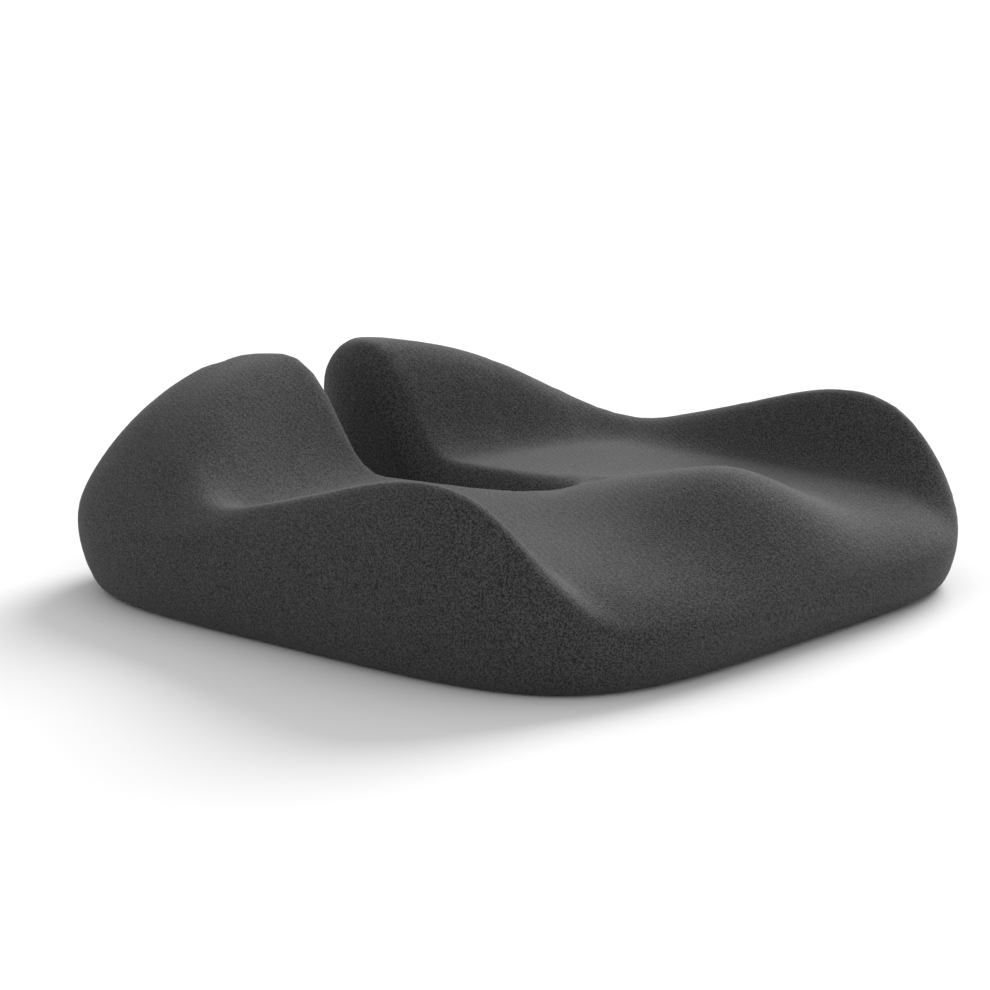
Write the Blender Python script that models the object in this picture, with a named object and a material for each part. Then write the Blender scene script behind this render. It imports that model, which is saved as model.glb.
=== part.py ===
"""Contoured foam seat cushion with an open coccyx slot, in a zipped knitted cover.

The frame is in metres with +Z up. The thigh edge faces -Y, the open end of the slot faces +Y,
the two halves mirror each other in X, and the origin is the middle of the base, on the surface
that the cushion stands on. Every layer of the cushion is the same contoured shape, moved
inwards by the thickness of what lies outside it.
"""

from math import cos, exp, hypot, pi, sin, sqrt

import bmesh
import bpy
from mathutils import Vector

MM = 0.001

# Overall size and outline of the covered cushion
WIDTH = 430 * MM
DEPTH = 449 * MM
CORNER_POWER = 4.3  # exponent of the outline: 2 is an ellipse, and more is squarer
REAR_TAPER = -0.019  # share by which the rear half is narrower than the middle

# Heights over the standing surface
SEAT_HEIGHT = 59.0 * MM
FRONT_HEIGHT = 56.5 * MM
WING_INNER_HEIGHT = 129.5 * MM
WING_OUTER_HEIGHT = 51.5 * MM
BOLSTER_RISE = 75.5 * MM
POMMEL_RISE = 33.5 * MM

# Where the contours lie, measured from the edge that each belongs to
FRONT_ROLL_DEPTH = 150.5 * MM
WING_FOOT_FROM_REAR = 145 * MM
WING_CREST_FROM_REAR = 60 * MM
WING_FOOT_BOW = 64 * MM  # how far the foot of the wings comes forward at the sides
WING_FALL_POWER = 2.7
BOLSTER_WIDTH = 64.5 * MM
BOLSTER_PEAK_FROM_FRONT = 91.0 * MM
BOLSTER_REACH_FRONT = 78.5 * MM
BOLSTER_REACH_REAR = 146 * MM
POMMEL_HALF_WIDTH = 60.0 * MM
POMMEL_PEAK_FROM_FRONT = 41.5 * MM
POMMEL_REACH_FRONT = 64.0 * MM
POMMEL_REACH_REAR = 117.5 * MM

# Rounding of the upper edges, and the walls
SIDE_ROUND = 44.5 * MM
FRONT_ROUND = 93.5 * MM
REAR_ROUND = 48 * MM
SLOT_ROUND = 20 * MM
ROUND_POWER = 1.75
FRONT_ROUND_POWER = 2.02
GIRTH_HEIGHT = 58.5 * MM  # height of the widest line of the front and the sides
GIRTH_DROP_REAR = 13.5 * MM
GIRTH_DROP_FRONT = 33.5 * MM  # how much lower the widest line is along the thigh edge
GIRTH_FRONT_RUN = 135 * MM
GIRTH_DROP_RUN = 269 * MM
WALL_TUCK_FRONT = 17.0 * MM  # how far the walls pull in below the widest line
WALL_TUCK_REAR = 20 * MM
WALL_TUCK_SLOT = 8 * MM

# The coccyx slot, open at the rear
SLOT_LENGTH = 251.5 * MM
SLOT_NOSE_RADIUS = 5 * MM
SLOT_MOUTH_HALF_WIDTH = 26 * MM
SLOT_WALL_HEIGHT = 28.5 * MM  # how far the slot's edge lies below the rounded top
SLOT_CORNER_RADIUS = 68 * MM
SLOT_BLEND = 30 * MM

# Layers, from the outside in
COVER_THICKNESS = 1.3 * MM
LINER_THICKNESS = 0.7 * MM
LAYER_GAP = 0.3 * MM
COVER_BASE_HEIGHT = 0.7 * MM
RIM_LEAN = 0.5  # how far a layer's base edge moves in for each unit of its depth

# The base: two fabric panels on grip dots, joined to the cover by a seam
BASE_PANEL_THICKNESS = 2.0 * MM
SEAM_WIDTH = 1.8 * MM
SEAM_LIFT = 0.3 * MM
PIECE_GAP = 0.3 * MM
LINER_SLIT_LENGTH = 260 * MM
LINER_SLIT_WIDTH = 3 * MM

# The zip across the underside
ZIP_SIDE_MARGIN = 43 * MM  # from each side of the cushion to the zip's end
ZIP_SLOT_CLEARANCE = 45 * MM  # from the slot's nose forward to the zip
ZIP_OPENING_HALF = 9 * MM
HEM_WIDTH = 10 * MM
HEM_THICKNESS = 2.4 * MM
TAPE_THICKNESS = 0.5 * MM
TAPE_WIDTH = 15 * MM
COIL_WIDTH = 2.2 * MM
COIL_THICKNESS = 1.1 * MM
CHAIN_GAP_HALF = 0.55 * MM  # from the zip's middle line to each coil
STOP_LENGTH = 3 * MM
ZIP_ALLOWANCE = 2.5 * MM  # tape past the top stops
LABEL_LENGTH = 40 * MM
LABEL_WIDTH = 13.5 * MM
LABEL_THICKNESS = 0.4 * MM
LABEL_X = -100 * MM
RELIEF_SIDE_CLEARANCE = 1 * MM
RELIEF_END_CLEARANCE = 4 * MM
RELIEF_TOP_CLEARANCE = 0.8 * MM

# The slider and its pull
SLIDER_LENGTH = 9 * MM
SLIDER_WEB_THICKNESS = 0.5 * MM
SLIDER_LOWER_THICKNESS = 1.0 * MM
SLIDER_UPPER_THICKNESS = 0.7 * MM
SLIDER_FLANGE_THICKNESS = 0.85 * MM
SLIDER_STOP_CLEARANCE = 0.4 * MM
BRIDGE_LENGTH = 6.4 * MM
BRIDGE_WIDTH = 1.2 * MM
BRIDGE_LEG = 0.8 * MM
BRIDGE_BEAM = 0.65 * MM
BRIDGE_WINDOW = 1.2 * MM
PULL_LENGTH = 22 * MM
PULL_HEAD_WIDTH = 4.4 * MM
PULL_GRIP_WIDTH = 6 * MM
PULL_HEAD_LENGTH = 8 * MM
PULL_THICKNESS = 0.7 * MM
PULL_BAR_RADIUS = 0.42 * MM
PULL_EYE_LENGTH = 4 * MM
PULL_EYE_WIDTH = 2.2 * MM
PULL_END_CLEARANCE = 1 * MM  # from the pull's tip to the zip's end, with the zip open

# Mesh density of the contoured layers
COLUMNS = 9
ROWS_BEFORE_SLOT = 9
ROWS_BESIDE_SLOT = 9
WALL_RINGS = 4
BAR_SIDES = 12
TINY = 1e-7

# Worked out from the sizes above
HALF_WIDTH = WIDTH / 2
HALF_DEPTH = DEPTH / 2
SLOT_NOSE_Y = HALF_DEPTH - SLOT_LENGTH
LINER_DEPTH = COVER_THICKNESS + LAYER_GAP
FOAM_DEPTH = LINER_DEPTH + LINER_THICKNESS + LAYER_GAP
ZIP_HALF = HALF_WIDTH - ZIP_SIDE_MARGIN
ZIP_Y = SLOT_NOSE_Y - ZIP_SLOT_CLEARANCE
LINER_SLIT_Y = (ZIP_Y - HALF_DEPTH) / 2
HEM_TOP = BASE_PANEL_THICKNESS + HEM_THICKNESS
TAPE_Z = HEM_TOP + PIECE_GAP
TAPE_TOP = TAPE_Z + TAPE_THICKNESS
COIL_TOP = TAPE_Z - PIECE_GAP
COIL_Z = COIL_TOP - COIL_THICKNESS
COIL_OUTER = CHAIN_GAP_HALF + COIL_WIDTH
SLIDER_LOWER_TOP = COIL_Z - PIECE_GAP
SLIDER_LOWER_Z = SLIDER_LOWER_TOP - SLIDER_LOWER_THICKNESS
SLIDER_UPPER_Z = TAPE_TOP + PIECE_GAP
SLIDER_TOP = SLIDER_UPPER_Z + SLIDER_UPPER_THICKNESS
SLIDER_HALF_WIDTH = COIL_OUTER + PIECE_GAP + SLIDER_FLANGE_THICKNESS
TOP_STOP_X = ZIP_HALF - ZIP_ALLOWANCE - STOP_LENGTH
OPEN_SLIDER_X = -ZIP_HALF + PULL_END_CLEARANCE + PULL_LENGTH
BOTTOM_STOP_X = OPEN_SLIDER_X - SLIDER_LENGTH / 2 - SLIDER_STOP_CLEARANCE
SLIDER_REST_X = TOP_STOP_X - SLIDER_STOP_CLEARANCE - SLIDER_LENGTH / 2
PULL_AXIS_Z = SLIDER_LOWER_Z - BRIDGE_WINDOW / 2
RELIEF_HALF_WIDTH = ZIP_OPENING_HALF + HEM_WIDTH + RELIEF_SIDE_CLEARANCE
RELIEF_HALF_LENGTH = ZIP_HALF + RELIEF_END_CLEARANCE
RELIEF_TOP = SLIDER_TOP + RELIEF_TOP_CLEARANCE


def smooth(t):
    """Rises from 0 to 1 as t does, with no kink at either end."""
    c = min(max(t, 0.0), 1.0)
    return c**3 * (c * (6 * c - 15) + 10)


def bell(offset, reach_before, reach_after):
    """A hump of height 1 at offset 0, with its own reach on each side."""
    reach = reach_before if offset < 0 else reach_after
    return exp(-((offset / reach) ** 2))


def top_height(x, y):
    """Height of the contoured top over the point x, y, before its edges are rounded."""
    across = abs(x) / HALF_WIDTH
    roll = smooth((FRONT_ROLL_DEPTH - HALF_DEPTH - y) / FRONT_ROLL_DEPTH)
    level = SEAT_HEIGHT + (FRONT_HEIGHT - SEAT_HEIGHT) * roll
    crest = WING_INNER_HEIGHT + (WING_OUTER_HEIGHT - WING_INNER_HEIGHT) * across**WING_FALL_POWER
    foot_y = HALF_DEPTH - WING_FOOT_FROM_REAR - WING_FOOT_BOW * across**2
    climb = smooth((y - foot_y) / (WING_FOOT_FROM_REAR - WING_CREST_FROM_REAR))
    wing = (crest - SEAT_HEIGHT) * climb
    bolster_side = smooth((abs(x) - HALF_WIDTH + BOLSTER_WIDTH) / BOLSTER_WIDTH)
    bolster_along = bell(
        y + HALF_DEPTH - BOLSTER_PEAK_FROM_FRONT, BOLSTER_REACH_FRONT, BOLSTER_REACH_REAR
    )
    pommel = bell(x, POMMEL_HALF_WIDTH, POMMEL_HALF_WIDTH) * bell(
        y + HALF_DEPTH - POMMEL_PEAK_FROM_FRONT, POMMEL_REACH_FRONT, POMMEL_REACH_REAR
    )
    return level + wing + BOLSTER_RISE * bolster_side * bolster_along + POMMEL_RISE * pommel


def slot_half_width(y):
    """Half the slot's width at its upper edge: a round nose that widens evenly to the mouth."""
    nose_y = SLOT_NOSE_Y + SLOT_NOSE_RADIUS
    if y < SLOT_NOSE_Y:
        return 0.0
    if y < nose_y:
        return sqrt(max(SLOT_NOSE_RADIUS**2 - (nose_y - y) ** 2, 0.0))
    widening = (y - nose_y) / (HALF_DEPTH - nose_y)
    return SLOT_NOSE_RADIUS + (SLOT_MOUTH_HALF_WIDTH - SLOT_NOSE_RADIUS) * widening


def outline_point(u, v):
    """Plan position of the square coordinates u (0 to 1) and v (-1 to 1), with no slot."""
    reach = max(u, abs(v))
    power_sum = (u**CORNER_POWER + abs(v) ** CORNER_POWER) ** (1 / CORNER_POWER)
    ratio = reach / power_sum if power_sum > TINY else 1.0
    x = HALF_WIDTH * u * ratio * (1 + REAR_TAPER * v)
    return x, HALF_DEPTH * v * ratio


def edge_profile(distance, rounding, power):
    """Share of the full height at a distance in from an edge."""
    t = min(max(distance / rounding, 0.0), 1.0)
    return (1 - (1 - t) ** power) ** (1 / power)


def surface_point(u, v):
    """(point on the top surface, how much it belongs to the slot's edge) for u, v."""
    x, y = outline_point(u, v)
    x_side = max(outline_point(1.0, v)[0], TINY)
    slot = slot_half_width(y)
    x = slot + x / x_side * (x_side - slot)
    edge_distance = (1 - max(u, abs(v))) * (HALF_WIDTH + HALF_DEPTH) / 2
    nose_y = SLOT_NOSE_Y + SLOT_NOSE_RADIUS
    slot_distance = max(hypot(x, min(0.0, y - nose_y)) - max(slot, SLOT_NOSE_RADIUS), 0.0)
    from_slot = 1 - (x - slot) / SLOT_CORNER_RADIUS
    from_rear = 1 - (1 - v) * HALF_DEPTH / SLOT_CORNER_RADIUS
    if from_slot > 0 and from_rear > 0 and y > nose_y:
        squeeze = max(from_slot, from_rear) / hypot(from_slot, from_rear)
        x = slot + SLOT_CORNER_RADIUS * (1 - from_slot * squeeze)
        y -= SLOT_CORNER_RADIUS * (1 - from_rear * squeeze) - (1 - v) * HALF_DEPTH
    slot_share = (edge_distance + SLOT_BLEND) ** 2
    slot_share /= slot_share + (slot_distance + SLOT_BLEND) ** 2
    slotness = smooth((slot_share - 0.12) / 0.76)
    sideness = abs(x / HALF_WIDTH) ** 8
    sideness /= sideness + abs(y / HALF_DEPTH) ** 8 + TINY
    end_round = FRONT_ROUND if y < 0 else REAR_ROUND
    outer_round = SIDE_ROUND * sideness + end_round * (1 - sideness)
    rounding = outer_round + (SLOT_ROUND - outer_round) * slotness
    height = top_height(x, y)
    front_share = (1 - sideness) * smooth(-y / GIRTH_FRONT_RUN)
    girth = GIRTH_HEIGHT - GIRTH_DROP_REAR * smooth((y + HALF_DEPTH / 5) / GIRTH_DROP_RUN)
    girth -= GIRTH_DROP_FRONT * front_share
    power = ROUND_POWER + (FRONT_ROUND_POWER - ROUND_POWER) * front_share
    edge_height = girth + (height - SLOT_WALL_HEIGHT - girth) * slotness
    both = (edge_distance**6 + slot_distance**6) ** (1 / 6)
    distance = edge_distance * slot_distance / both if both > TINY else 0.0
    z = edge_height + (height - edge_height) * edge_profile(distance, rounding, power)
    return Vector((x, y, z)), slotness


def denser_ends(t):
    """Moves evenly spaced t (0 to 1) so that steps near both ends are shorter."""
    return t - 0.5 / (2 * pi) * sin(2 * pi * t)


def grid_parameters(co):
    """(u, v) of a vertex of a unit grid, with one row exactly at the slot's nose."""
    rows = ROWS_BEFORE_SLOT + ROWS_BESIDE_SLOT
    row = (co.y + 0.5) * rows
    nose_v = SLOT_NOSE_Y / HALF_DEPTH
    if row <= ROWS_BEFORE_SLOT + TINY:
        v = -1 + (nose_v + 1) * denser_ends(row / ROWS_BEFORE_SLOT)
    else:
        v = nose_v + (1 - nose_v) * denser_ends((row - ROWS_BEFORE_SLOT) / ROWS_BESIDE_SLOT)
    return denser_ends(co.x + 0.5), v


def inward_directions(points, closed):
    """Unit plan directions into the material at points that run anticlockwise round it."""
    directions = []
    for index, point in enumerate(points):
        before = points[index - 1] if index or closed else mirrored(points[1])
        last = index == len(points) - 1
        after = mirrored(points[-2]) if last and not closed else points[(index + 1) % len(points)]
        tangent = (after - before).xy.normalized()
        directions.append(Vector((-tangent.y, tangent.x, 0)))
    return directions


def mirrored(point):
    """The point on the other side of the middle plane."""
    return Vector((-point.x, point.y, point.z))


def free_edge_chain(bm):
    """The half's free edge in order, from the middle of the front round to the slot's nose."""
    edges = {e for e in bm.edges if e.is_boundary and any(v.co.x > TINY for v in e.verts)}
    on_plane = [v for e in edges for v in e.verts if v.co.x <= TINY]
    chain = [min(on_plane, key=lambda v: v.co.y)]
    while edges:
        step = next(e for e in edges if chain[-1] in e.verts)
        edges.remove(step)
        chain.append(step.other_vert(chain[-1]))
    return chain


def wall_tuck(y, slotness):
    """How far the wall pulls in between its widest line and the base."""
    outer = WALL_TUCK_FRONT + (WALL_TUCK_REAR - WALL_TUCK_FRONT) * smooth(y / HALF_DEPTH)
    return outer + (WALL_TUCK_SLOT - outer) * slotness


def half_skin():
    """(bmesh, base chain): the right half of the covered cushion's top and walls."""
    bm = bmesh.new()
    bmesh.ops.create_grid(
        bm, x_segments=COLUMNS, y_segments=ROWS_BEFORE_SLOT + ROWS_BESIDE_SLOT, size=0.5
    )
    slotness = {}
    for vertex in bm.verts:
        vertex.co, slotness[vertex] = surface_point(*grid_parameters(vertex.co))
    chain = free_edge_chain(bm)
    rim = [vertex.co.copy() for vertex in chain]
    tucks = [wall_tuck(vertex.co.y, slotness[vertex]) for vertex in chain]
    inward = inward_directions(rim, closed=False)
    for ring in range(1, WALL_RINGS + 1):
        edges = [bm.edges.get(pair) for pair in zip(chain, chain[1:])]
        extruded = bmesh.ops.extrude_edge_only(bm, edges=edges)["geom"]
        fresh = {item for item in extruded if isinstance(item, bmesh.types.BMVert)}
        chain = [
            next(e.other_vert(v) for e in v.link_edges if e.other_vert(v) in fresh) for v in chain
        ]
        angle = pi / 2 * ring / WALL_RINGS
        for vertex, start, direction, tuck in zip(chain, rim, inward, tucks):
            vertex.co = start + direction * tuck * (1 - cos(angle))
            vertex.co.z = COVER_BASE_HEIGHT + (start.z - COVER_BASE_HEIGHT) * (1 - sin(angle))
    return bm, [vertex.co.copy() for vertex in chain]


def base_outline(inset):
    """The base's edge as a closed anticlockwise list of points, moved inwards by inset."""
    bm, right = half_skin()
    bm.free()
    points = right + [mirrored(point) for point in reversed(right[1:-1])]
    directions = inward_directions(points, closed=True)
    return [point + direction * inset for point, direction in zip(points, directions)]


def body_layer(depth):
    """(bmesh, base face) of the cushion's closed shape, moved inwards by depth.

    It is triangulated before it moves, so that every layer has the same facets.
    """
    bm, _ = half_skin()
    bmesh.ops.mirror(bm, geom=bm.verts[:] + bm.edges[:] + bm.faces[:], axis="X", merge_dist=1e-6)
    bmesh.ops.triangulate(bm, faces=bm.faces[:], quad_method="SHORT_EDGE")
    rim_edges = [edge for edge in bm.edges if edge.is_boundary]
    base = bmesh.ops.contextual_create(bm, geom=rim_edges)["faces"][0]
    bmesh.ops.recalc_face_normals(bm, faces=bm.faces[:])
    bm.normal_update()
    shift = {v: -v.normal * v.calc_shell_factor() * depth for v in bm.verts}
    ring = [loop.vert for loop in base.loops]
    if base.normal.z < 0:
        ring.reverse()
    for vertex, direction in zip(ring, inward_directions([v.co for v in ring], closed=True)):
        shift[vertex] = direction * depth * RIM_LEAN + Vector((0, 0, depth))
    for vertex, move in shift.items():
        vertex.co += move
    return bm, base


def object_from(bm, name, location=(0, 0, 0)):
    """Links a bmesh, whose coordinates are relative to location, as an object."""
    mesh = bpy.data.meshes.new(name)
    bm.to_mesh(mesh)
    bm.free()
    obj = bpy.data.objects.new(name, mesh)
    obj.location = location
    bpy.context.scene.collection.objects.link(obj)
    return obj


def finish(obj, parent, color, roughness, metallic=0.0, smooth_angle=0.7):
    """Parents a piece and gives it its own material and shading."""
    obj.parent = parent
    obj.location = obj.location - parent.location
    if parent.parent:
        obj.location = obj.location - parent.parent.location
    obj.data.shade_smooth()
    obj.data.set_sharp_from_angle(angle=smooth_angle)
    material = bpy.data.materials.new(obj.name)
    material.use_nodes = True
    shader = material.node_tree.nodes["Principled BSDF"]
    shader.inputs["Base Color"].default_value = (*color, 1.0)
    shader.inputs["Roughness"].default_value = roughness
    shader.inputs["Metallic"].default_value = metallic
    obj.data.materials.append(material)
    return obj


def as_cutter(obj):
    """Hides a helper that only cuts or joins."""
    obj.hide_render = True
    obj.display_type = "WIRE"
    return obj


def combine(obj, other, operation):
    """Adds a Boolean of obj with a helper object."""
    modifier = obj.modifiers.new(operation.title() + "_" + other.name, "BOOLEAN")
    modifier.operation = operation
    modifier.solver = "EXACT"
    modifier.object = as_cutter(other)


def box(low, high):
    """A bmesh box between two corners."""
    bm = bmesh.new()
    bmesh.ops.create_cube(bm, size=1.0)
    low, high = Vector(low), Vector(high)
    bmesh.ops.scale(bm, vec=high - low, verts=bm.verts)
    bmesh.ops.translate(bm, vec=(low + high) / 2, verts=bm.verts)
    return bm


def prism(points, direction):
    """A bmesh prism of a flat outline, swept along direction."""
    bm = bmesh.new()
    face = bm.faces.new([bm.verts.new(point) for point in points])
    swept = bmesh.ops.extrude_face_region(bm, geom=[face])["geom"]
    moved = [item for item in swept if isinstance(item, bmesh.types.BMVert)]
    bmesh.ops.translate(bm, vec=direction, verts=moved)
    bmesh.ops.recalc_face_normals(bm, faces=bm.faces[:])
    return bm


def relief_cutter(name, depth):
    """The hollow over the zip, grown by how much deeper the layer lies than the liner."""
    grow = depth - LINER_DEPTH
    half_x, half_y = RELIEF_HALF_LENGTH + grow, RELIEF_HALF_WIDTH + grow
    low = (-half_x, ZIP_Y - half_y, -COVER_BASE_HEIGHT)
    return object_from(box(low, (half_x, ZIP_Y + half_y, RELIEF_TOP + grow)), name)


def make_foam_core(parent):
    """The moulded foam, with a shallow relief over the zip."""
    foam = object_from(body_layer(FOAM_DEPTH)[0], "foam_core")
    combine(foam, relief_cutter("foam_relief", FOAM_DEPTH), "DIFFERENCE")
    return finish(foam, parent, (0.78, 0.76, 0.70), 0.9)


def make_inner_liner(parent):
    """The thin stretch liner that is sewn shut round the foam."""
    inner_depth = LINER_DEPTH + LINER_THICKNESS
    hollow = object_from(body_layer(inner_depth)[0], "liner_hollow")
    combine(hollow, relief_cutter("liner_inner_relief", inner_depth), "DIFFERENCE")
    liner = object_from(body_layer(LINER_DEPTH)[0], "inner_liner")
    combine(liner, relief_cutter("liner_outer_relief", LINER_DEPTH), "DIFFERENCE")
    combine(liner, hollow, "DIFFERENCE")
    half = Vector((LINER_SLIT_LENGTH / 2, LINER_SLIT_WIDTH / 2, 2 * LINER_THICKNESS))
    middle = Vector((0, LINER_SLIT_Y, liner_base_middle()))
    combine(liner, object_from(box(middle - half, middle + half), "liner_slit"), "DIFFERENCE")
    return finish(liner, parent, (0.80, 0.80, 0.78), 0.85)


def liner_base_middle():
    """Height of the middle of the liner's flat base."""
    return COVER_BASE_HEIGHT + LINER_DEPTH + LINER_THICKNESS / 2


def make_liner_seam(parent):
    """The stitched strip that closes the liner."""
    half = Vector((LINER_SLIT_LENGTH, LINER_SLIT_WIDTH, LINER_THICKNESS)) / 2
    half -= Vector((PIECE_GAP, PIECE_GAP, 0))
    middle = Vector((0, LINER_SLIT_Y, liner_base_middle()))
    seam = object_from(box(middle - half, middle + half), "liner_seam")
    return finish(seam, parent, (0.72, 0.72, 0.70), 0.85)


def make_outer_cover(parent):
    """The knitted cover: the top and the walls as one skin, open at the base."""
    outer, base = body_layer(0.0)
    inner, inner_base = body_layer(COVER_THICKNESS)
    outer.faces.remove(base)
    inner.faces.remove(inner_base)
    bmesh.ops.reverse_faces(inner, faces=inner.faces[:])
    inner_mesh = bpy.data.meshes.new("cover_lining")
    inner.to_mesh(inner_mesh)
    inner.free()
    outer.from_mesh(inner_mesh)
    bpy.data.meshes.remove(inner_mesh)
    rims = [edge for edge in outer.edges if edge.is_boundary]
    bmesh.ops.bridge_loops(outer, edges=rims)
    bmesh.ops.recalc_face_normals(outer, faces=outer.faces[:])
    return finish(object_from(outer, "outer_cover"), parent, (0.045, 0.045, 0.047), 0.9)


def seam_inset():
    """Inset of the seam's outer edge from the cover's base edge."""
    return COVER_THICKNESS * RIM_LEAN + PIECE_GAP


def panel_inset():
    """Inset of the base panels' outer edge from the cover's base edge."""
    return seam_inset() + SEAM_WIDTH + PIECE_GAP


def make_base_seam(parent):
    """The sewn edge between the cover's walls and the base panels."""
    bm = bmesh.new()
    for inset in (seam_inset(), seam_inset() + SEAM_WIDTH):
        loop = [bm.verts.new((p.x, p.y, SEAM_LIFT)) for p in base_outline(inset)]
        for first, second in zip(loop, loop[1:] + loop[:1]):
            bm.edges.new((first, second))
    bmesh.ops.bridge_loops(bm, edges=bm.edges[:])
    swept = bmesh.ops.extrude_face_region(bm, geom=bm.faces[:])["geom"]
    moved = [item for item in swept if isinstance(item, bmesh.types.BMVert)]
    bmesh.ops.translate(bm, vec=(0, 0, BASE_PANEL_THICKNESS - SEAM_LIFT), verts=moved)
    bmesh.ops.recalc_face_normals(bm, faces=bm.faces[:])
    return finish(object_from(bm, "base_seam"), parent, (0.03, 0.03, 0.032), 0.85)


def cut_away(bm, point, normal):
    """Removes what lies past the plane through point, on the side that normal points to."""
    geom = bm.verts[:] + bm.edges[:] + bm.faces[:]
    bmesh.ops.bisect_plane(bm, geom=geom, plane_co=point, plane_no=normal, clear_outer=True)


def split_along(bm, point, normal):
    """Adds edges where the plane crosses the faces."""
    geom = bm.verts[:] + bm.edges[:] + bm.faces[:]
    bmesh.ops.bisect_plane(bm, geom=geom, plane_co=point, plane_no=normal)


def base_sheet(height):
    """A flat sheet of the whole base inside the seam, at a height."""
    bm = bmesh.new()
    bm.faces.new([bm.verts.new((p.x, p.y, height)) for p in base_outline(panel_inset())])
    return bm


def make_base_panel(parent, name, side):
    """A base panel on one side of the zip (-1 front, 1 rear), its hem raised beside the zip."""
    bm = base_sheet(0.0)
    cut_away(bm, (0, ZIP_Y + side * ZIP_OPENING_HALF, 0), (0, -side, 0))
    hem_edge = side * (ZIP_OPENING_HALF + HEM_WIDTH)
    split_along(bm, (0, ZIP_Y + hem_edge, 0), (0, 1, 0))
    for end in (-ZIP_HALF, ZIP_HALF):
        split_along(bm, (end, 0, 0), (1, 0, 0))
    bmesh.ops.recalc_face_normals(bm, faces=bm.faces[:])
    swept = bmesh.ops.extrude_face_region(bm, geom=bm.faces[:])["geom"]
    moved = [item for item in swept if isinstance(item, bmesh.types.BMVert)]
    bmesh.ops.translate(bm, vec=(0, 0, BASE_PANEL_THICKNESS), verts=moved)
    hem = [face for face in bm.faces if in_hem(face, side)]
    raised = bmesh.ops.extrude_face_region(bm, geom=hem)["geom"]
    bmesh.ops.delete(bm, geom=hem, context="FACES_ONLY")
    moved = [item for item in raised if isinstance(item, bmesh.types.BMVert)]
    bmesh.ops.translate(bm, vec=(0, 0, HEM_THICKNESS), verts=moved)
    bmesh.ops.recalc_face_normals(bm, faces=bm.faces[:])
    return finish(object_from(bm, name), parent, (0.035, 0.035, 0.037), 0.9)


def in_hem(face, side):
    """Whether a face is the part of a panel's upper side that the hem stands on."""
    middle = face.calc_center_median()
    from_zip = side * (middle.y - ZIP_Y)
    flat_top = abs(face.normal.z) > 0.9 and middle.z > BASE_PANEL_THICKNESS / 2
    return flat_top and abs(middle.x) < ZIP_HALF and from_zip < ZIP_OPENING_HALF + HEM_WIDTH


def make_end_tab(parent, name, side):
    """The fabric tab that closes the base between a zip end and the seam."""
    bm = base_sheet(0.0)
    half = ZIP_OPENING_HALF - PIECE_GAP
    cut_away(bm, (0, ZIP_Y + half, 0), (0, 1, 0))
    cut_away(bm, (0, ZIP_Y - half, 0), (0, -1, 0))
    cut_away(bm, (side * (ZIP_HALF + PIECE_GAP), 0, 0), (-side, 0, 0))
    swept = bmesh.ops.extrude_face_region(bm, geom=bm.faces[:])["geom"]
    moved = [item for item in swept if isinstance(item, bmesh.types.BMVert)]
    bmesh.ops.translate(bm, vec=(0, 0, BASE_PANEL_THICKNESS), verts=moved)
    bmesh.ops.recalc_face_normals(bm, faces=bm.faces[:])
    return finish(object_from(bm, name), parent, (0.035, 0.035, 0.037), 0.9)


def zip_strip(name, side, inner, outer, x_range, z_range):
    """A straight strip beside the zip's middle line, on one side of it."""
    ys = sorted((ZIP_Y + side * inner, ZIP_Y + side * outer))
    low = (x_range[0], ys[0], z_range[0])
    return object_from(box(low, (x_range[1], ys[1], z_range[1])), name)


def make_zip_side(parent, name, side):
    """One half of the zip: tape, coil and top stop."""
    tape = zip_strip(
        "zip_tape_" + name,
        side,
        CHAIN_GAP_HALF,
        CHAIN_GAP_HALF + TAPE_WIDTH,
        (-ZIP_HALF, ZIP_HALF),
        (TAPE_Z, TAPE_TOP),
    )
    finish(tape, parent, (0.03, 0.03, 0.03), 0.8)
    coil_x = (BOTTOM_STOP_X + PIECE_GAP, TOP_STOP_X - PIECE_GAP)
    coil_z = (COIL_Z, COIL_TOP)
    coil = zip_strip("zip_coil_" + name, side, CHAIN_GAP_HALF, COIL_OUTER, coil_x, coil_z)
    finish(coil, parent, (0.02, 0.02, 0.02), 0.4)
    stop_x = (TOP_STOP_X, TOP_STOP_X + STOP_LENGTH)
    stop = zip_strip("zip_top_stop_" + name, side, CHAIN_GAP_HALF, COIL_OUTER, stop_x, coil_z)
    finish(stop, parent, (0.35, 0.35, 0.36), 0.35, 1.0)


def make_bottom_stop(parent):
    """The stop that joins both coils at the end where the zip starts."""
    low = (BOTTOM_STOP_X - STOP_LENGTH, ZIP_Y - COIL_OUTER, COIL_Z)
    high = (BOTTOM_STOP_X, ZIP_Y + COIL_OUTER, COIL_TOP)
    stop = object_from(box(low, high), "zip_bottom_stop")
    return finish(stop, parent, (0.35, 0.35, 0.36), 0.35, 1.0)


def slider_section():
    """The slider's outline across the zip: two plates on a web, and flanges round the coils."""
    web = SLIDER_WEB_THICKNESS / 2
    wide = SLIDER_HALF_WIDTH
    inside = wide - SLIDER_FLANGE_THICKNESS
    right = [
        (wide, SLIDER_LOWER_Z),
        (wide, COIL_TOP),
        (inside, COIL_TOP),
        (inside, SLIDER_LOWER_TOP),
        (web, SLIDER_LOWER_TOP),
        (web, SLIDER_UPPER_Z),
        (wide, SLIDER_UPPER_Z),
        (wide, SLIDER_TOP),
    ]
    return right + [(-y, z) for y, z in reversed(right)]


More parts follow.
